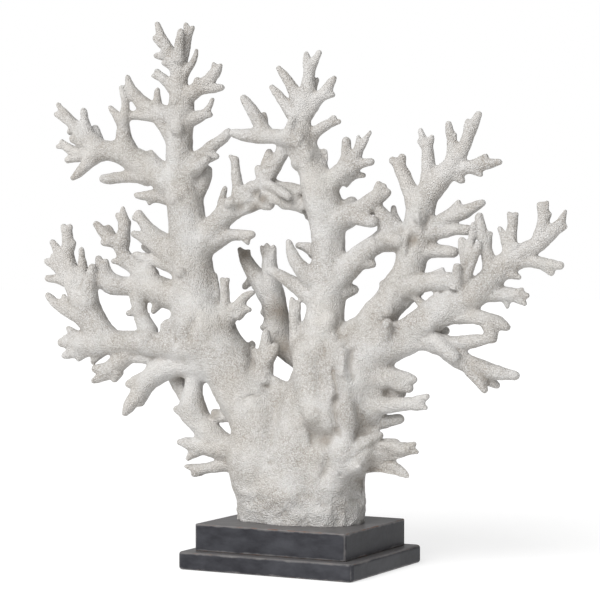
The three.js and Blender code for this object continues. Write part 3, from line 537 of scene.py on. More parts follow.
        [(88, -4, 258, 11), (103, -4, 268.5, 8), (114, -2, 279, 8)],
        [(81, 2, 345, 9), (89, 1, 337, 11), (98, 0, 330, 12)],
        [(84, -8, 262, 12), (87, -27, 273, 7.4), (91, -37, 284, 4.8)],
    ],
    # Crown of the right tower.
    "right_crown": [
        [(120, 0, 362, 13), (125, 0, 378, 10.3), (125, 0, 395, 7.8), (124, 0, 410, 6.5),
         (123.2, 0, 420, 6.1)],
        [(121, 0, 419, 5.2), (117, 0, 434.5, 2.7)],
        [(124, 0, 419, 5.2), (127.6, 0, 428, 2.9)],
        [(120, 0, 420, 4.8), (115.7, 0, 423.3, 3)],
        [(120, 0, 368, 12.5), (137, 0, 388.5, 11.2), (147, 0, 400.5, 10), (150.5, 0, 409, 8.2)],
        [(148.5, 0, 408, 7.5), (146, 0, 426, 4.9), (144, 0, 436, 4.5), (143.3, 0, 440.5, 4)],
        [(147.5, 0, 420, 5), (149.3, 0, 429.5, 2.7)],
        [(152, 0, 406, 8), (160, 0, 422, 6.6), (164.3, 0, 436, 6)],
        [(162, 0, 434, 4.8), (161.5, 0, 442.3, 3.2)],
        [(164, 0, 432, 5.6), (171.3, 0, 449, 3.9)],
        [(144, 0, 395, 10), (160, 0, 398.5, 6.7), (172, 0, 400.5, 6.5), (184, 0, 401.5, 5),
         (191.3, 0, 403.3, 3.5)],
        [(170, 0, 402, 5.5), (178.7, 0, 408.8, 3)],
        [(166, 0, 397, 5.8), (174, 0, 391, 3.2)],
        [(149, 0, 392, 7), (156, 0, 385.7, 3.6)],
    ],
    # Thick limb to the right with standing fingers.
    "right_limb": [
        [(60, 10, 214, 27), (78, 8, 224, 24), (101, 8, 234.5, 15.8), (122, 8, 249, 15.8),
         (146, 6, 263.5, 15.5), (168, 4, 275, 13.8), (184, 2, 291, 12.8), (196, 0, 304, 11.5)],
        [(184.5, 4, 297.1, 9.6), (180.3, 6, 311.5, 6.7), (177, 6, 326, 6.2),
         (174.2, 6, 339.5, 5.1), (172.3, 6, 350.6, 4.4)],
        [(179, 5, 326, 6.2), (182.5, 4, 334, 3.4)],
        [(157.3, 8, 281.3, 7.3), (158.7, 11, 298.7, 5.4), (157.3, 12, 316.2, 4.6),
         (155.9, 12, 326.8, 4)],
        [(159.2, 10, 294.9, 5), (163, 12, 316.2, 4.3), (165.3, 12, 334.6, 3.4),
         (166.3, 12, 342.4, 3)],
        [(149.8, 14, 282.1, 8.3), (150.3, 20, 295.7, 5.4), (150.7, 22, 301.6, 4.9)],
        [(122, 4, 258, 9), (128, 8, 269, 4.8), (132.3, 10, 274.5, 3.2)],
        [(176, 1, 278, 11.5), (192, 0, 276, 8), (204, 0, 275.5, 7.4), (209, 0, 275.8, 6.4)],
        [(208, 0, 278, 4.6), (212.3, 0, 280.7, 2.8)],
        [(209, 0, 276, 5), (217, 0, 275, 3.2)],
        [(206, 0, 273, 5.2), (215, 0, 267, 2.8)],
        [(197, 0, 274, 6.5), (198.8, 0, 263.8, 2.8)],
        [(124, 8, 250, 12), (150, 8, 254, 8.2), (168, 8, 254, 7.7), (180, 6, 251.5, 7.7),
         (190, 4, 248.5, 6.8), (198, 4, 244.5, 4.3)],
        [(180, 6, 248, 7.5), (184, 6, 238.5, 6.6), (184.7, 6, 232.5, 5)],
        [(88, 9, 226, 20), (104, 9, 228, 14)],
        [(146, -4, 264, 9), (148, -20, 272, 5.6), (149, -26, 278, 4)],
        [(104.1, 4, 277.6, 6.4), (112.7, 4, 270.9, 4.2), (121.3, 2, 263.2, 5.9)],
        [(76.1, 20, 224, 8.4), (82.9, 28, 237.9, 6.9), (83.8, 32, 247.3, 5.5)],
        [(118.5, 12, 238.7, 11.7), (124.2, 21, 245.7, 6.8)],
        [(160.1, 12, 291, 4.8), (165.3, 15, 306.6, 4.6), (169.5, 17, 319.2, 4),
         (170.5, 17, 324, 3.6)],
    ],
    # End of the right limb, which spreads up and out.
    "right_limb_end": [
        [(190, 0, 298, 12), (199, 0, 307, 10.5), (212, 0, 316, 9.5), (228, 0, 324.5, 7.8)],
        [(227, 0, 323, 8.5), (232, 0, 344, 6.2), (232, 0, 356, 5.4), (231.2, 0, 360, 5)],
        [(229.5, 0, 359, 3.8), (228, 0, 362.5, 2.8)],
        [(232, 0, 357, 4.2), (235.2, 0, 363.8, 2.7)],
        [(233, 0, 348, 5), (237.6, 0, 352.6, 2.8)],
        [(227, 0, 324, 8.5), (241, 0, 337, 6.7), (247, 0, 344, 5.2), (250.7, 0, 352.5, 3),
         (252, 0, 355.5, 2.4)],
        [(243, 0, 338.5, 6), (251.7, 0, 340.8, 3.3)],
        [(201, 0, 308, 9.5), (202.3, 0, 328, 6.6), (203.7, 0, 342, 5.5), (204, 0, 349, 5.2)],
        [(202, 0, 348, 4), (200.2, 0, 353.3, 2.7)],
        [(204, 0, 348, 4), (206.7, 0, 352.5, 2.8)],
        [(200, 0, 319, 6.5), (195, 0, 332, 4.4), (192, 0, 338.7, 3.3)],
        [(205, 2, 313, 7), (205.5, 8, 323.5, 4.1)],
        [(200, 0, 305, 9.5), (218, 0, 308, 6.3), (230, 0, 306, 6.2), (240, 0, 304.5, 5.5),
         (247.2, 0, 304, 4)],
        [(234, 0, 303, 5.5), (239.2, 0, 297, 3.2)],
        [(190, 2, 298, 9.5), (202, 2, 295, 5.5), (209.3, 2, 292.3, 3.2)],
    ],
    # Limb under the right limb, drooping towards its tips.
    "lower_right_limb": [
        [(92, 6, 230, 15), (112, 8, 231.5, 12), (128, 10, 228, 10.5), (140, 11, 222.5, 10),
         (150, 10, 215, 10), (163, 10, 207.5, 9.5), (175, 9, 203, 8.8), (186, 8, 201, 7.7),
         (196, 7, 199.7, 6.3), (205.5, 6, 198, 4.8)],
        [(186, 7, 201, 6), (196, 6, 201.7, 4)],
        [(128, 10, 228.5, 10), (150, 10, 227, 8.5), (165, 10, 230, 7), (177.5, 8, 231.8, 5.6)],
        [(130, 0, 232, 8), (141.5, -9, 239, 4.3)],
        [(138, 11, 223, 9), (147.5, 16, 216, 6.8)],
        [(164, 10, 204, 8), (171.5, 11, 194, 6.6), (175.3, 12, 187.5, 5.2), (177, 12, 183.8, 3.8)],
        [(175, 4, 199, 8), (184, 0, 190.5, 5.8), (189.3, -1, 187.5, 4.1)],
        [(126.1, 12, 233, 8.8), (138.4, 20, 223.6, 7.8), (147.9, 24, 215, 6.2)],
    ],
}


# ---------------------------------------------------------------- settings


class CoralSettings(bpy.types.PropertyGroup):
    """Sizes and colours of the coral."""

    voxel: bpy.props.FloatProperty(
        name="Surface Step", description="Length of one face of the coral's skin",
        default=0.0014, unit="LENGTH")
    melt: bpy.props.IntProperty(
        name="Melt", description="How far the joints between branches are rounded over", default=8)
    trunk_melt: bpy.props.IntProperty(
        name="Trunk Melt", description="How far the columns of the trunk run together", default=110)
    lumps: bpy.props.FloatProperty(
        name="Lumps", description="Height of the broad swellings on the limbs",
        default=0.0026, unit="LENGTH")
    knots: bpy.props.FloatProperty(
        name="Knots", description="Height of the small knots on the fingers",
        default=0.0011, unit="LENGTH")
    foot_lumps: bpy.props.FloatProperty(
        name="Foot Lumps", description="Height of the lumps round the foot",
        default=0.0066, unit="LENGTH")
    grain: bpy.props.FloatProperty(
        name="Polyp Grain", description="Distance between polyp cups",
        default=0.00145, unit="LENGTH")
    white: bpy.props.FloatVectorProperty(
        name="White", description="Colour of the coral where it is clean", subtype="COLOR",
        size=4, default=(0.645, 0.638, 0.628, 1.0))
    beige: bpy.props.FloatVectorProperty(
        name="Beige", description="Colour of the warm patches", subtype="COLOR",
        size=4, default=(0.605, 0.583, 0.552, 1.0))
    cool: bpy.props.FloatVectorProperty(
        name="Cool", description="Colour of the cooler patches", subtype="COLOR",
        size=4, default=(0.57, 0.577, 0.557, 1.0))
    # This colour paints shade into the hollows, creases and undersides together with their brown
    # stain, and darkens the polyp grain.
    shade: bpy.props.FloatVectorProperty(
        name="Shade", description="Colour of the stained hollows", subtype="COLOR",
        size=4, default=(0.27, 0.238, 0.202, 1.0))


class StandSettings(bpy.types.PropertyGroup):
    """Sizes and colours of the stand."""

    slab_edge: bpy.props.FloatProperty(
        name="Slab Edge", description="Radius of the slab's rounded rim",
        default=0.003, unit="LENGTH")
    block_edge: bpy.props.FloatProperty(
        name="Block Edge", description="Radius of the block's rim", default=0.0012, unit="LENGTH")
    slab_corner: bpy.props.FloatProperty(
        name="Slab Corner", description="Radius of the slab's upright corners",
        default=0.006, unit="LENGTH")
    block_corner: bpy.props.FloatProperty(
        name="Block Corner", description="Radius of the block's upright corners",
        default=0.0035, unit="LENGTH")
    paint: bpy.props.FloatVectorProperty(
        name="Paint", description="Charcoal paint", subtype="COLOR",
        size=4, default=(0.017, 0.017, 0.021, 1.0))
    # Paler clouds: partly mottled paint, partly painted sheen on the faces.
    cloud_and_sheen: bpy.props.FloatVectorProperty(
        name="Clouds", description="Paler clouds in the paint", subtype="COLOR",
        size=4, default=(0.046, 0.047, 0.054, 1.0))
    # This paler colour paints the rubbed edges and also the painted sheen on the level top.
    rubbed_and_top_sheen: bpy.props.FloatVectorProperty(
        name="Rubbed Edge", description="Paler paint where the edges are rubbed", subtype="COLOR",
        size=4, default=(0.15, 0.143, 0.142, 1.0))
    bare: bpy.props.FloatVectorProperty(
        name="Bare Spots", description="Reddish ground showing through at the edges",
        subtype="COLOR", size=4, default=(0.15, 0.08, 0.055, 1.0))


class StageSettings(bpy.types.PropertyGroup):
    """Camera and light."""

    distance: bpy.props.FloatProperty(
        name="Camera Distance", description="From the stand's middle to the camera",
        default=2.4, unit="LENGTH")
    shift: bpy.props.FloatProperty(
        name="Camera Shift", description="To the left of the stand's middle",
        default=0.0008, unit="LENGTH")
    height: bpy.props.FloatProperty(
        name="Camera Height", description="Above the floor", default=0.353, unit="LENGTH")
    tilt: bpy.props.FloatProperty(
        name="Camera Tilt", description="How far the camera looks down",
        default=math.radians(2.05), unit="ROTATION")
    lens: bpy.props.FloatProperty(
        name="Lens", description="Focal length in millimetres", default=144.0)
    floor: bpy.props.FloatVectorProperty(
        name="Floor", description="Colour of the floor", subtype="COLOR",
        size=4, default=(0.40, 0.40, 0.40, 1.0))
    floor_glow: bpy.props.FloatProperty(
        name="Floor Glow", description="Light the floor gives of its own, which thins the shadow",
        default=0.66)


# ---------------------------------------------------------------- helpers


def only(piece):
    """Selects one object alone and makes it active."""
    bpy.ops.object.select_all(action="DESELECT")
    piece.select_set(True)
    bpy.context.view_layer.objects.active = piece


def apply_modifier(piece, kind, **values):
    """Adds a modifier with these values and applies it at once."""
    modifier = piece.modifiers.new(kind.title(), kind)
    for name, value in values.items():
        setattr(modifier, name, value)
    only(piece)
    bpy.ops.object.modifier_apply(modifier=modifier.name)


def fan_place(stations):
    """Stations of a branch as places over the stand, in metres, and their radii."""
    rows = np.array(stations, float) * MM
    to_front = FAN_SWEEP * rows[:, 0] + rows[:, 1]
    x = rows[:, 0] * math.cos(FAN_TURN) + to_front * math.sin(FAN_TURN)
    y = rows[:, 0] * math.sin(FAN_TURN) - to_front * math.cos(FAN_TURN)
    return np.column_stack([x, y, rows[:, 2]]), rows[:, 3]


def on_the_fan(places):
    """Places over the stand as millimetres across the fan, forward of its middle sheet and up."""
    across = places @ np.array(FAN_RIGHT) / MM
    forward = places @ np.array(FAN_FRONT) / MM - FAN_SWEEP * across
    return across, forward, places[:, 2] / MM


def smooth_run(stations, step=2.5 * MM):
    """The branch's middle line as a smooth curve through its stations: places and radii."""
    places, radii = fan_place(stations)
    values = np.column_stack([places, radii])
    lengths = np.linalg.norm(np.diff(places, axis=0), axis=1)
    along = np.concatenate([[0], np.cumsum(lengths)])
    slopes = np.gradient(values, along, axis=0)
    run = []
    for i, length in enumerate(lengths):
        count = max(2, int(length / step))
        t = (np.arange(count) / count)[:, None]
        run.append(
            (2 * t**3 - 3 * t**2 + 1) * values[i]
            + (t**3 - 2 * t**2 + t) * length * slopes[i]
            + (3 * t**2 - 2 * t**3) * values[i + 1]
            + (t**3 - t**2) * length * slopes[i + 1])
    run.append(values[-1:])
    run = np.vstack(run)
    return run[:, :3], np.maximum(run[:, 3], 0.6 * min(radii))


def rounded_run(stations):
    """The smooth run with a half-round tip added."""
    places, radii = smooth_run(stations)
    heading = places[-1] - places[-2]
    heading = heading / np.linalg.norm(heading)
    turns = np.radians([18, 36, 54, 70, 82, 88])
    tip = places[-1] + np.outer(np.sin(turns) * radii[-1], heading)
    return np.vstack([places, tip]), np.concatenate([radii, np.cos(turns) * radii[-1]])


# ---------------------------------------------------------------- the coral's skin


def rods_of_all_branches():
    """Every branch as a round rod of changing thickness, all in one mesh object."""
    curve = bpy.data.curves.new("coral_rods", "CURVE")
    curve.dimensions = "3D"
    curve.bevel_depth = MM
    curve.bevel_resolution = 4
    curve.use_fill_caps = True
    for branches in BRANCHES.values():
        for stations in branches:
            places, radii = rounded_run(stations)
            if stations[0][2] <= FOOT_LEVEL / MM:
                places = np.vstack([places[0] - [0, 0, FOOT_SPARE], places])
                radii = np.concatenate([radii[:1], radii])
            spline = curve.splines.new("POLY")
            spline.points.add(len(places) - 1)
            corners = np.column_stack([places, np.ones(len(places))])
            spline.points.foreach_set("co", corners.ravel())
            spline.points.foreach_set("radius", radii / MM)
    rods = bpy.data.objects.new("coral_rods", curve)
    bpy.context.scene.collection.objects.link(rods)
    only(rods)
    bpy.ops.object.convert(target="MESH")
    return bpy.context.view_layer.objects.active


def noise_texture(name, size):
    """A cloudy texture with clouds of this size, for a displace modifier."""
    texture = bpy.data.textures.new(name, "CLOUDS")
    texture.noise_scale = size
    texture.noise_depth = 2
    return texture


def weigh(skin, name, weights, steps=50):
    """Stores a weight for every vertex as a vertex group, in this many steps."""
    group = skin.vertex_groups.new(name=name)
    levels = np.round(np.clip(weights, 0, 1) * steps).astype(int)
    for level in range(1, steps + 1):
        members = np.nonzero(levels == level)[0]
        if len(members):
            group.add(members.tolist(), level / steps, "REPLACE")


def grown_together(settings):
    """The rods melted into one skin, with the relief, swellings and knots of a grown coral."""
    skin = rods_of_all_branches()
    apply_modifier(skin, "REMESH", mode="VOXEL", voxel_size=settings.voxel, use_smooth_shade=True)
    drop_crumbs(skin)
    places = mesh_arrays(skin.data)[0]
    _, girth = piece_of_each(places)
    weigh(skin, "stout", (girth / MM - SLIM_BRANCH) / (STOUT_BRANCH - SLIM_BRANCH))
    weigh(skin, "foot", (LUMPS_TOP - places[:, 2]) / LUMPS_FADE)
    apply_modifier(
        skin, "SMOOTH", factor=0.5, iterations=settings.trunk_melt, vertex_group="stout")
    press_relief(skin)
    apply_modifier(skin, "SMOOTH", factor=0.5, iterations=settings.melt)
    for name, size, height, group in (
        ("foot_lumps", 0.017, settings.foot_lumps, "foot"),
        ("broad_swellings", 0.022, settings.lumps, ""),
        ("small_knots", 0.0065, settings.knots, ""),
    ):
        apply_modifier(
            skin, "DISPLACE", texture=noise_texture(name, size), texture_coords="LOCAL",
            strength=height, mid_level=0.5, vertex_group=group)
    cut_foot(skin)
    return skin


def drop_crumbs(skin):
    """Deletes the loose bubbles that the melting leaves inside the coral."""
    places, _, _, edges = mesh_arrays(skin.data)
    patch = connected(np.zeros(len(places), np.int32), edges)
    size = np.bincount(patch, minlength=len(places))[patch]
    crumbs = np.nonzero(size < size.max())[0]
    shell = bmesh.new()
    shell.from_mesh(skin.data)
    shell.verts.ensure_lookup_table()
    bmesh.ops.delete(shell, geom=[shell.verts[i] for i in crumbs], context="VERTS")
    shell.to_mesh(skin.data)
    shell.free()


def press_relief(skin):
    """Presses the furrows of RELIEF and the steps of STEPS into the front of the skin."""
    places = mesh_arrays(skin.data)[0]
    facing = np.clip(vertex_normals(skin.data) @ np.array(FAN_FRONT) * 1.6 - 0.1, 0, 1)
    across, forward, height = on_the_fan(places)
    in_front = forward > -RELIEF_BACK
    sideways = np.sin(height / 6.1 + 0.7 * np.sin(across / 4.7))
    upwards = np.sin(across / 5.3 + 1.1 * np.sin(height / 7.9))
    spots = np.column_stack([across + RELIEF_WAVER * sideways, height + RELIEF_WAVER * upwards])
    for start, end, width, depth in RELIEF:
        along, side, length = beside_line(spots, start, end)
        gap = np.hypot(along - np.clip(along, 0, length), side)
        near = (gap < 3 * width) & in_front
        push = depth * np.exp(-((gap[near] / width) ** 2)) * facing[near]
        places[near] -= np.outer(push * MM, FAN_FRONT)
    for start, end, rise, drop, reach, soft in STEPS:
        along, side, length = beside_line(spots, start, end)
        beyond = along - np.clip(along, 0, length)
        fade = np.exp(-((beyond / min(0.6 * reach, 8)) ** 2) - np.abs(side) / reach)
        near = (fade > 0.02) & in_front
        lift = np.where(side > 0, rise, drop) * np.tanh(side / soft) * fade * facing
        places[near] += np.outer(lift[near] * MM, FAN_FRONT)
    skin.data.vertices.foreach_set("co", places.astype(np.float32).ravel())
    skin.data.update()


def beside_line(spots, start, end):
    """How far each spot lies along a line and to the left of it, and how long the line is."""
    start = np.array(start, float)
    line = np.array(end, float) - start
    length = np.linalg.norm(line)
    line /= length
    return (spots - start) @ line, (spots - start) @ np.array([-line[1], line[0]]), length


def cut_foot(skin):
    """Cuts the coral off level where it stands on the block."""
    only(skin)
    bpy.ops.object.mode_set(mode="EDIT")
    bpy.ops.mesh.select_all(action="SELECT")
    bpy.ops.mesh.bisect(
        plane_co=(0, 0, FOOT_LEVEL), plane_no=(0, 0, 1), use_fill=True, clear_inner=True)
    bpy.ops.object.mode_set(mode="OBJECT")


def mesh_arrays(mesh):
    """Places of the vertices, the faces' corners with their counts, and the edges."""
    places = np.empty(len(mesh.vertices) * 3, np.float32)
    mesh.vertices.foreach_get("co", places)
    corners = np.empty(len(mesh.loops), np.int32)
    mesh.loops.foreach_get("vertex_index", corners)
    counts = np.empty(len(mesh.polygons), np.int32)
    mesh.polygons.foreach_get("loop_total", counts)
    edges = np.empty(len(mesh.edges) * 2, np.int32)
    mesh.edges.foreach_get("vertices", edges)
    return places.reshape(-1, 3).astype(float), corners, counts, edges.reshape(-1, 2)


def vertex_normals(mesh):
    """The direction in which the skin faces at every vertex."""
    normals = np.empty(len(mesh.vertices) * 3, np.float32)
    mesh.vertices.foreach_get("normal", normals)
    return normals.reshape(-1, 3)


def neighbour_mean(values, edges, count):
    """Mean of each vertex's neighbours, for one or more values a vertex."""
    total = np.zeros_like(values)
    for k in range(values.shape[1]):
        total[:, k] = np.bincount(edges[:, 0], values[edges[:, 1], k], len(values))
        total[:, k] += np.bincount(edges[:, 1], values[edges[:, 0], k], len(values))
    return total / count[:, None]


def hollowness(places, normals, edges):
    """How far each vertex lies inside a hollow: 0 on open limbs, 1 deep in a fork or a pit."""
    count = np.maximum(np.bincount(edges.ravel(), minlength=len(places)), 1)
    mean = places.copy()
    result = np.zeros(len(places))
    done = 0
    # Small hollows first, then broad ones, each with the depth at which it counts in full.
    for rounds, depth in ((12, 0.6 * MM), (70, 2.6 * MM)):
        for _ in range(rounds - done):
            mean = neighbour_mean(mean, edges, count)
        done = rounds
        lift = np.einsum("ij,ij->i", mean - places, normals)
        result += 0.5 * np.clip(lift / depth, -0.3, 1.0)
    return np.clip(result, 0, 1)


def stains_and_painted_shade(places):
    """How strongly the listed brown stains and painted shade darken each vertex."""
    spots = np.column_stack(on_the_fan(places))
    # A stain and its painted shade run deeper into the coral than they spread over it.
    stretch = np.array([1, 0.35, 1])
    result = np.zeros(len(places))
    for place, reach, strength in STAINS_AND_PAINTED_SHADE:
        gap = np.linalg.norm((spots - place) * stretch, axis=1)
        result = np.maximum(result, strength * np.exp(-((gap / reach) ** 2)))
    return result


def piece_of_each(points):
    """For every point, the number of the piece whose branches pass nearest, and how thick it is."""
    nearest = np.full(len(points), 1e9)
    owner = np.zeros(len(points), np.int32)
    girth = np.zeros(len(points))
    order = np.argsort(points[:, 0])
    ordered = points[order, 0]
    for number, branches in enumerate(BRANCHES.values()):
        for stations in branches:
            places, radii = smooth_run(stations, step=7 * MM)
            for a, b, ra, rb in zip(places, places[1:], radii, radii[1:]):
                reach = max(ra, rb) + 12 * MM
                low = min(a[0], b[0]) - reach
                high = max(a[0], b[0]) + reach
                near = order[np.searchsorted(ordered, low) : np.searchsorted(ordered, high)]
                spots = points[near]
                for axis in (1, 2):
                    inside = (spots[:, axis] > min(a[axis], b[axis]) - reach) & (
                        spots[:, axis] < max(a[axis], b[axis]) + reach)
                    near = near[inside]
                    spots = spots[inside]
                if not len(near):
                    continue
                line = b - a
                share = np.clip((spots - a) @ line / (line @ line), 0, 1)
                radius = ra + share * (rb - ra)
                gap = np.linalg.norm(spots - a - share[:, None] * line, axis=1) - radius
                closer = gap < nearest[near] - 1e-7
                nearest[near[closer]] = gap[closer]
                owner[near[closer]] = number
                girth[near[closer]] = radius[closer]
    return owner, girth


def tidy_owners(owner, pairs, pieces):
    """Evens out the borders between pieces and gives every stray patch to its neighbour."""
    for _ in range(BORDER_ROUNDS):
        votes = np.zeros((len(owner), pieces), np.int16)
        np.add.at(votes, (pairs[:, 0], owner[pairs[:, 1]]), 1)
        np.add.at(votes, (pairs[:, 1], owner[pairs[:, 0]]), 1)
        votes[np.arange(len(owner)), owner] += 1
        owner = votes.argmax(axis=1).astype(np.int32)
    for _ in range(STRAY_ROUNDS):
        patch = connected(owner, pairs)
        size = np.bincount(patch, minlength=len(owner))
        largest = np.zeros(pieces, np.int64)
        for number in range(pieces):
            own = patch[owner == number]
            largest[number] = own[size[own].argmax()] if len(own) else -1
        stray = patch != largest[owner]
        if not stray.any():
            break
        for _ in range(STRAY_WIDTH):
            left = stray[pairs[:, 0]] & ~stray[pairs[:, 1]]
            right = stray[pairs[:, 1]] & ~stray[pairs[:, 0]]
            if not left.any() and not right.any():
                break
            owner[pairs[left, 0]] = owner[pairs[left, 1]]
            owner[pairs[right, 1]] = owner[pairs[right, 0]]
            stray[pairs[left, 0]] = False
            stray[pairs[right, 1]] = False
    return owner


def connected(owner, pairs):
    """The lowest number in the patch that each face or vertex belongs to."""
    same = pairs[owner[pairs[:, 0]] == owner[pairs[:, 1]]]
    patch = np.arange(len(owner))
    while True:
        low = np.minimum(patch[same[:, 0]], patch[same[:, 1]])
        before = patch.copy()
        np.minimum.at(patch, same[:, 0], low)
        np.minimum.at(patch, same[:, 1], low)
        np.minimum.at(patch, before, patch)
        patch = patch[patch]
        if (patch == before).all():
            return patch


def face_pairs(corners, counts):
    """Pairs of faces that share an edge."""
    face = np.repeat(np.arange(len(counts)), counts)
    starts = np.cumsum(counts) - counts
    following = np.arange(len(corners)) + 1
    following[starts + counts - 1] = starts
    ends = corners[following]
    low = np.minimum(corners, ends).astype(np.int64)
    key = low * (corners.max() + 1) + np.maximum(corners, ends)
    order = np.argsort(key, kind="stable")
    key = key[order]
    face = face[order]
    shared = np.nonzero(key[1:] == key[:-1])[0]
    return np.column_stack([face[shared], face[shared + 1]])


def split_at_forks(skin, material):
    """Cuts the skin into the coral's pieces, closes the cuts and gives each piece its finish."""
    places, corners, counts, edges = mesh_arrays(skin.data)
    normals = vertex_normals(skin.data)
    # Darkening painted into the colour: painted shade deep in forks, pits and the listed places, with
    # brown stain there too.
    hollow_stain_and_shade = np.maximum(hollowness(places, normals, edges), stains_and_painted_shade(places))
    face = np.repeat(np.arange(len(counts)), counts)
    centres = np.column_stack(
        [np.bincount(face, places[corners, k], len(counts)) / counts for k in range(3)])
    owner, _ = piece_of_each(centres)
    owner = tidy_owners(owner, face_pairs(corners, counts), len(BRANCHES))
    middles = np.vstack(
        [smooth_run(stations)[0] for branches in BRANCHES.values() for stations in branches])
    for number, name in enumerate(BRANCHES):
        mine = owner == number
        used, local = np.unique(corners[mine[face]], return_inverse=True)
        mesh = open_mesh(name + "_skin", places[used], local, counts[mine])
        layer = mesh.attributes.new("hollow_stain_and_shade", "FLOAT", "POINT")
        layer.data.foreach_set("value", hollow_stain_and_shade[used].astype(np.float32))
        close_cuts(mesh, middles)
        keep_shading(mesh, normals[used])
        mesh.materials.append(material)
        piece = bpy.data.objects.new(name + "_skin", mesh)
        bpy.context.scene.collection.objects.link(piece)
        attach(piece, "root")
        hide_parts(name)
    bpy.data.objects.remove(skin)


def open_mesh(name, places, corners, counts):
    """A smooth mesh from its places, its faces' corners in a row, and how many each face has."""
    mesh = bpy.data.meshes.new(name)
    mesh.vertices.add(len(places))
    mesh.vertices.foreach_set("co", places.astype(np.float32).ravel())
    mesh.loops.add(len(corners))
    mesh.loops.foreach_set("vertex_index", corners.astype(np.int32).ravel())
    mesh.polygons.add(len(counts))
    mesh.polygons.foreach_set("loop_start", (np.cumsum(counts) - counts).astype(np.int32))
    mesh.polygons.foreach_set("use_smooth", np.ones(len(counts), bool))
    mesh.update(calc_edges=True)
    return mesh


def close_cuts(mesh, middles):
    """Closes each cut with a cone of faces whose apex lies deep inside the coral."""
    shell = bmesh.new()
    shell.from_mesh(mesh)
    for rim in rims_of(shell):
        spots = np.array([edge.verts[0].co for edge in rim])
        normals = np.array([edge.verts[0].normal for edge in rim])
        reach = np.linalg.norm(middles - spots.mean(axis=0), axis=1)
        # Of the nearest places along the branches, the one that lies deepest behind the rim.
        best = 1e9
        for middle in middles[np.argsort(reach)[:40]]:
            inward = middle - spots
            inward /= np.linalg.norm(inward, axis=1)[:, None]
            worst = np.percentile(np.einsum("ij,ij->i", inward, normals), 97)
            if worst < best - 0.02:
                best = worst
                deepest = middle
        apex = shell.verts.new(deepest)
        for edge in rim:
            corner = edge.link_loops[0]
            cap = shell.faces.new((corner.link_loop_next.vert, corner.vert, apex))
            cap.smooth = False
    shell.to_mesh(mesh)
    shell.free()


def rims_of(shell):
    """The open edges of a mesh, in groups that hang together."""
    rims = []
    taken = set()
    for first in shell.edges:
        if not first.is_boundary or first in taken:
            continue
        taken.add(first)
        rim = [first]
        for edge in rim:
            for other in (link for vert in edge.verts for link in vert.link_edges):
                if other.is_boundary and other not in taken:
                    taken.add(other)
                    rim.append(other)
        rims.append(rim)
    return rims


def keep_shading(mesh, normals):
    """Gives the rim of every cut the shading that it had on the whole coral."""
    corners = np.empty(len(mesh.loops), np.int32)
    mesh.loops.foreach_get("vertex_index", corners)
    counts = np.empty(len(mesh.polygons), np.int32)
    mesh.polygons.foreach_get("loop_total", counts)
    smooth = np.empty(len(mesh.polygons), bool)
    mesh.polygons.foreach_get("use_smooth", smooth)
    flat = np.empty(len(mesh.polygons) * 3, np.float32)
    mesh.polygons.foreach_get("normal", flat)
    flat = flat.reshape(-1, 3)
    face = np.repeat(np.arange(len(counts)), counts)
    normals = np.vstack([normals, np.zeros((len(mesh.vertices) - len(normals), 3))])
    split = np.where(smooth[face][:, None], normals[corners], flat[face])
    mesh.normals_split_custom_set(split)


# ---------------------------------------------------------------- finishes


class Nodes:
    """Short way to add and join the nodes of one material or world."""

    def __init__(self, owner, last):
        owner.use_nodes = True
        self.owner = owner
        self.tree = owner.node_tree
        self.last = self.tree.nodes[last]

    def feed(self, socket, value):
        """Joins the socket to another one, or sets its value."""
        if isinstance(value, bpy.types.NodeSocket):
            self.tree.links.new(value, socket)
        else:
            socket.default_value = value

    def add(self, kind, inputs=None, **values):
        """A new node with these inputs fed and these values set."""
        node = self.tree.nodes.new("ShaderNode" + kind)
        for name, value in values.items():
            setattr(node, name, value)
        for name, value in (inputs or {}).items():
            self.feed(node.inputs[name], value)
        return node

    def math(self, operation, a, b=0.0):
        return self.add("Math", {0: a, 1: b}, operation=operation).outputs[0]

    def noise(self, place, size, detail=3.0, roughness=0.5):
        """Cloudy noise whose clouds are about this size in metres."""
        values = {"Vector": place, "Scale": 1 / size, "Detail": detail, "Roughness": roughness}
        return self.add("TexNoise", values).outputs["Fac"]

    def ramp(self, value, *stops):
        """Grey levels through these stops (position, level)."""
        node = self.add("ValToRGB", {"Fac": value})
        for element, (position, level) in zip(node.color_ramp.elements, stops):
            element.position = position
            element.color = (level, level, level, 1)
        return node.outputs["Color"]

    def mix(self, share, a, b):
        """From colour a, at a share of 0, to colour b, at 1."""
        node = self.add("Mix", {0: share, 6: a, 7: b}, data_type="RGBA")
        return node.outputs[2]

    def bump(self, height, strength, distance):
        """Fine relief from this height."""
        values = {"Height": height, "Strength": strength, "Distance": distance}
        return self.add("Bump", values).outputs["Normal"]

    def finish(self, inputs):
        """Feeds the last node, and gives back the material or world."""
        for name, value in inputs.items():
            self.feed(self.last.inputs[name], value)
        return self.owner


def new_material(name):
    return Nodes(bpy.data.materials.new(name), "Principled BSDF")


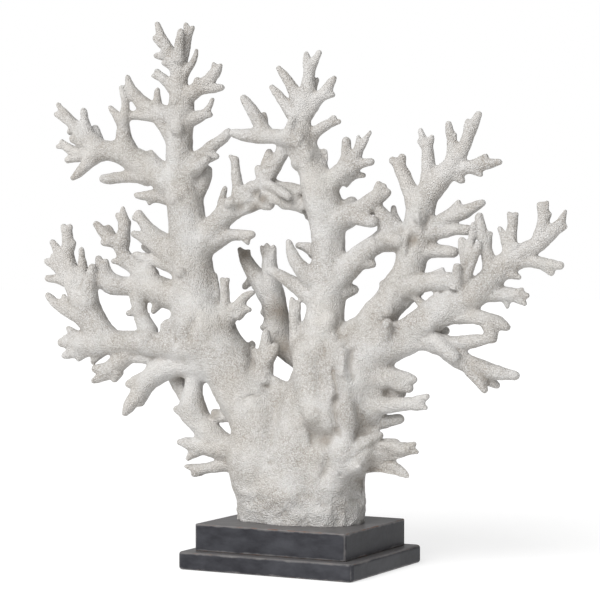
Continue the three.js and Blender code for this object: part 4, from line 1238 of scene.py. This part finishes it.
def coral_finish(settings):
    """Matt off-white skin with polyp grain, warm patches, and hollows darkened with brown stain and
    painted shade.
    """
    n = new_material("coral_white")
    place = n.add("TexCoord").outputs["Object"]

    # Broad beige patches and smaller cool ones.
    patches = n.ramp(n.noise(place, 45 * MM, 4.0), (0.42, 0.0), (0.66, 0.75))
    color = n.mix(patches, settings.white, settings.beige)
    cool = n.ramp(n.noise(place, 24 * MM), (0.52, 0.0), (0.74, 0.35))
    color = n.mix(cool, color, settings.cool)

    # Uneven darkening in the hollows: brown stain and painted shade where shade falls in forks, pits
    # and creases.
    hollow_stain_and_shade = n.add("Attribute", attribute_name="hollow_stain_and_shade").outputs["Fac"]
    uneven = n.math("ADD", n.math("MULTIPLY", n.noise(place, 12 * MM, 4.0), 0.68), 0.26)
    stain_and_painted_shade = n.ramp(n.math("MULTIPLY", hollow_stain_and_shade, uneven), (0.21, 0.0), (0.94, 0.86))
    color = n.mix(stain_and_painted_shade, color, settings.shade)

    # Polyp cups, darker between them, some cups darker than others, and plainer in places.
    cups = n.add(
        "TexVoronoi", {"Vector": place, "Scale": 1 / settings.grain, "Randomness": 0.9})
    cup = cups.outputs["Distance"]
    own = n.add("SeparateColor", {0: cups.outputs["Color"]}).outputs[0]
    between = n.ramp(cup, (0.28, 0.0), (0.72, 0.45))
    dots = n.math("ADD", between, n.math("MULTIPLY", own, 0.42))
    rough_share = n.ramp(n.noise(place, 35 * MM), (0.35, 0.35), (0.62, 1.0))
    color = n.mix(n.math("MULTIPLY", dots, rough_share), color, settings.shade)
    specks = n.ramp(n.noise(place, 1.6 * MM, 1.0), (0.46, 0.0), (0.66, 0.34))
    color = n.mix(n.math("MULTIPLY", specks, rough_share), color, settings.shade)

    fine = n.math("MULTIPLY", n.noise(place, 1.1 * MM, 2.0), 0.8)
    height = n.math("ADD", n.math("MULTIPLY", cup, -1.0), fine)
    return n.finish({
        "Base Color": color, "Roughness": 0.85, "Specular IOR Level": 0.3,
        "Normal": n.bump(height, 1.0, 1.3 * MM)})


def edge_nearness(n, place, half, middle, width):
    """1 along the edges of a box and 0 further than this width from them."""
    axes = n.add("SeparateXYZ", {0: place}).outputs
    depths = []
    for axis in range(3):
        off = n.math("ABSOLUTE", n.math("SUBTRACT", axes[axis], middle[axis]))
        depths.append(n.math("SUBTRACT", half[axis], off))
    low = n.math("MINIMUM", depths[0], depths[1])
    high = n.math("MAXIMUM", depths[0], depths[1])
    second = n.math("MAXIMUM", low, n.math("MINIMUM", high, depths[2]))
    return n.math("SUBTRACT", 1.0, n.math("DIVIDE", second, width))


def stand_finish(name, settings, low, high):
    """Satin charcoal paint, mottled in paler clouds that are partly painted sheen, painted sheen on
    the level top, and edges rubbed paler and in spots to the ground.
    """
    n = new_material(name)
    place = n.add("TexCoord").outputs["Object"]
    brushed = n.add("Mapping", {"Vector": place, "Scale": (1.0, 1.0, 2.0)}).outputs[0]

    # Clouds of paler paint, broad and fine, stretched level: partly mottled paint, partly painted
    # sheen.
    mottle = n.noise(brushed, 20 * MM, 5.0, 0.6)
    cloud_and_sheen = n.noise(brushed, 60 * MM)
    both = n.math("ADD", n.math("MULTIPLY", mottle, 0.5), n.math("MULTIPLY", cloud_and_sheen, 0.5))
    color = n.mix(n.ramp(both, (0.38, 0.0), (0.64, 1.0)), settings.paint, settings.cloud_and_sheen)

    # Painted sheen on the level top: the top is painted paler, as the light from above makes it.
    level = n.add("SeparateXYZ", {0: place}).outputs[2]
    top = {"From Min": high.z - 1.4 * MM, "From Max": high.z - 0.4 * MM, "To Max": 0.62}
    painted_top_sheen = n.add("MapRange", {"Value": level, **top}).outputs[0]
    color = n.mix(painted_top_sheen, color, settings.rubbed_and_top_sheen)

    # Edges rubbed paler, and bare in spots.
    near = edge_nearness(n, place, (high - low) / 2, (high + low) / 2, 3.4 * MM)
    chatter = n.math("MULTIPLY", n.math("SUBTRACT", n.noise(place, 11 * MM), 0.5), 1.3)
    rub = n.ramp(n.math("ADD", near, chatter), (0.32, 0.0), (0.9, 0.95))
    color = n.mix(rub, color, settings.rubbed_and_top_sheen)
    spots = n.noise(place, 13 * MM, 3.0, 0.6)
    bare = n.math("MULTIPLY", n.math("MAXIMUM", near, 0.0), spots)
    color = n.mix(n.ramp(bare, (0.38, 0.0), (0.52, 0.9)), color, settings.bare)

    rough = n.add("MapRange", {"Value": mottle, "To Min": 0.28, "To Max": 0.50}).outputs[0]
    pores = n.math("MULTIPLY", n.noise(place, 1.6 * MM), 0.25)
    height = n.math("ADD", pores, n.noise(place, 12 * MM))
    return n.finish({
        "Base Color": color, "Roughness": rough, "Specular IOR Level": 0.18,
        "Normal": n.bump(height, 0.35, 0.6 * MM)})


# ---------------------------------------------------------------- the stand


def tier(node, corner, rim):
    """One step of the stand, made from a cube the size of its CAD node, with rounded edges."""
    low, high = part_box(node)
    bpy.ops.object.select_all(action="DESELECT")
    bpy.ops.mesh.primitive_cube_add(size=1, location=(low + high) / 2, scale=high - low)
    piece = bpy.context.view_layer.objects.active
    piece.name = node + "_painted"
    bpy.ops.object.transform_apply(location=True, rotation=True, scale=True)
    bevel_edges(piece, corner, 6, is_upright)
    bevel_edges(piece, rim, 4, is_on_rim)
    bpy.ops.object.shade_smooth_by_angle(angle=math.radians(35))
    apply_modifier(piece, "WEIGHTED_NORMAL", keep_sharp=True)
    return piece


def is_upright(edge):
    """One of the four corners of a step."""
    return abs(direction_of(edge).z) > 0.9


def is_on_rim(edge):
    """Part of the outline of the top or the underside."""
    level = any(abs(face.normal.z) > 0.9 for face in edge.link_faces)
    return level and abs(direction_of(edge).z) < 0.1


def direction_of(edge):
    return (edge.verts[0].co - edge.verts[1].co).normalized()


def bevel_edges(piece, width, segments, wanted):
    """Rounds the edges that are wanted."""
    only(piece)
    bpy.ops.object.mode_set(mode="EDIT")
    bpy.ops.mesh.select_all(action="DESELECT")
    bpy.ops.mesh.select_mode(type="EDGE")
    shape = bmesh.from_edit_mesh(piece.data)
    for edge in shape.edges:
        edge.select = wanted(edge)
    bmesh.update_edit_mesh(piece.data)
    bpy.ops.mesh.bevel(offset=width, segments=segments, profile=0.5, affect="EDGES")
    bpy.ops.object.mode_set(mode="OBJECT")


# ---------------------------------------------------------------- the operators


class CORAL_OT_make_coral(bpy.types.Operator):
    """Grow the coral and split it at its main forks"""

    bl_idname = "coral.make_coral"
    bl_label = "Coral"

    def execute(self, context):
        settings = context.scene.coral_settings
        split_at_forks(grown_together(settings), coral_finish(settings))
        return {"FINISHED"}


class CORAL_OT_make_stand(bpy.types.Operator):
    """Make the two steps of the stand"""

    bl_idname = "coral.make_stand"
    bl_label = "Stand"

    def execute(self, context):
        settings = context.scene.stand_settings
        for node, corner, rim in (
            ("stand_slab", settings.slab_corner, settings.slab_edge),
            ("stand_block", settings.block_corner, settings.block_edge),
        ):
            piece = tier(node, corner, rim)
            piece.data.materials.append(stand_finish(node + "_paint", settings, *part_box(node)))
            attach(piece, "root")
            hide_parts(node)
        return {"FINISHED"}


def soft_sun(name, heading, spread, strength):
    """A wide, soft light that falls evenly along one direction."""
    data = bpy.data.lights.new(name, "SUN")
    data.angle = math.radians(spread)
    data.energy = strength
    lamp = bpy.data.objects.new(name, data)
    lamp.rotation_euler = heading.to_track_quat("-Z", "Y").to_euler()
    lamp.location = -2 * heading
    bpy.context.scene.collection.objects.link(lamp)


def pale_studio(world, dim, bright):
    """White all round to the eye, but its light on the object is dim from the right."""
    n = Nodes(world, "Background")
    way = n.add("TexCoord").outputs["Generated"]
    leftness = n.add("VectorMath", {0: way, 1: -FAN_RIGHT}, operation="DOT_PRODUCT")
    light = {"Value": leftness.outputs["Value"], "From Min": -1.0, "To Min": dim, "To Max": bright}
    seen = n.add("LightPath").outputs["Is Camera Ray"]
    strength = n.add("MapRange", {"Value": seen, "To Min": n.add("MapRange", light).outputs[0]})
    return n.finish({"Color": (1, 1, 1, 1), "Strength": strength.outputs[0]})


def laid_floor(settings):
    """A wide, pale floor."""
    bpy.ops.object.select_all(action="DESELECT")
    bpy.ops.mesh.primitive_plane_add(size=14)
    floor = bpy.context.view_layer.objects.active
    floor.name = "floor"
    floor.data.materials.append(new_material("pale_floor").finish({
        "Base Color": settings.floor, "Roughness": 0.95, "Specular IOR Level": 0.1,
        "Emission Color": (1, 1, 1, 1), "Emission Strength": settings.floor_glow}))
    return floor


def placed_camera(settings):
    """The camera in front of the fan, a little to the left of its middle, tilted down."""
    data = bpy.data.cameras.new("camera")
    data.lens = settings.lens
    data.sensor_width = 36
    data.clip_end = 50
    camera = bpy.data.objects.new("camera", data)
    place = FAN_FRONT * settings.distance - FAN_RIGHT * settings.shift + UP * settings.height
    look = -FAN_FRONT * math.cos(settings.tilt) - UP * math.sin(settings.tilt)
    camera.location = place
    camera.rotation_euler = look.to_track_quat("-Z", "Y").to_euler()
    bpy.context.scene.collection.objects.link(camera)
    return camera


class CORAL_OT_make_stage(bpy.types.Operator):
    """Lay the floor, place the camera and set the studio light"""

    bl_idname = "coral.make_stage"
    bl_label = "Stage"

    def execute(self, context):
        settings = context.scene.stage_settings
        scene = context.scene
        laid_floor(settings)
        scene.world = pale_studio(bpy.data.worlds.new("studio"), dim=0.16, bright=0.8)
        soft_sun("key", FAN_RIGHT * 0.66 - FAN_FRONT - UP, spread=42, strength=2.9)
        soft_sun("fill", FAN_RIGHT * 0.4 - FAN_FRONT - UP * 0.1, spread=70, strength=0.30)
        scene.camera = placed_camera(settings)
        scene.view_settings.view_transform = "Standard"
        scene.view_settings.look = "None"
        return {"FINISHED"}


class CORAL_PT_panel(bpy.types.Panel):
    """Shows a button for each maker of the stage, the stand and the coral, with its settings"""

    bl_label = "Branching Coral"
    bl_idname = "CORAL_PT_panel"
    bl_space_type = "VIEW_3D"
    bl_region_type = "UI"
    bl_category = "Coral"

    def draw(self, context):
        layout = self.layout
        for operator, group in OPERATORS:
            box = layout.box()
            box.operator(operator.bl_idname)
            values = getattr(context.scene, group)
            for name in values.__annotations__:
                box.prop(values, name)


OPERATORS = (
    (CORAL_OT_make_stage, "stage_settings"),
    (CORAL_OT_make_stand, "stand_settings"),
    (CORAL_OT_make_coral, "coral_settings"),
)
GROUPS = (
    (CoralSettings, "coral_settings"),
    (StandSettings, "stand_settings"),
    (StageSettings, "stage_settings"),
)


def register():
    """Adds the settings to the scene, and the operators and the panel."""
    for group, name in GROUPS:
        bpy.utils.register_class(group)
        setattr(bpy.types.Scene, name, bpy.props.PointerProperty(type=group))
    for operator, _ in OPERATORS:
        bpy.utils.register_class(operator)
    bpy.utils.register_class(CORAL_PT_panel)


def unregister():
    """Takes away all that register added."""
    bpy.utils.unregister_class(CORAL_PT_panel)
    for operator, _ in reversed(OPERATORS):
        bpy.utils.unregister_class(operator)
    for group, name in reversed(GROUPS):
        delattr(bpy.types.Scene, name)
        bpy.utils.unregister_class(group)


def main():
    """Makes the stage, the stand and the coral."""
    register()
    bpy.ops.coral.make_stage()
    bpy.ops.coral.make_stand()
    bpy.ops.coral.make_coral()


if __name__ == "__main__":
    main()
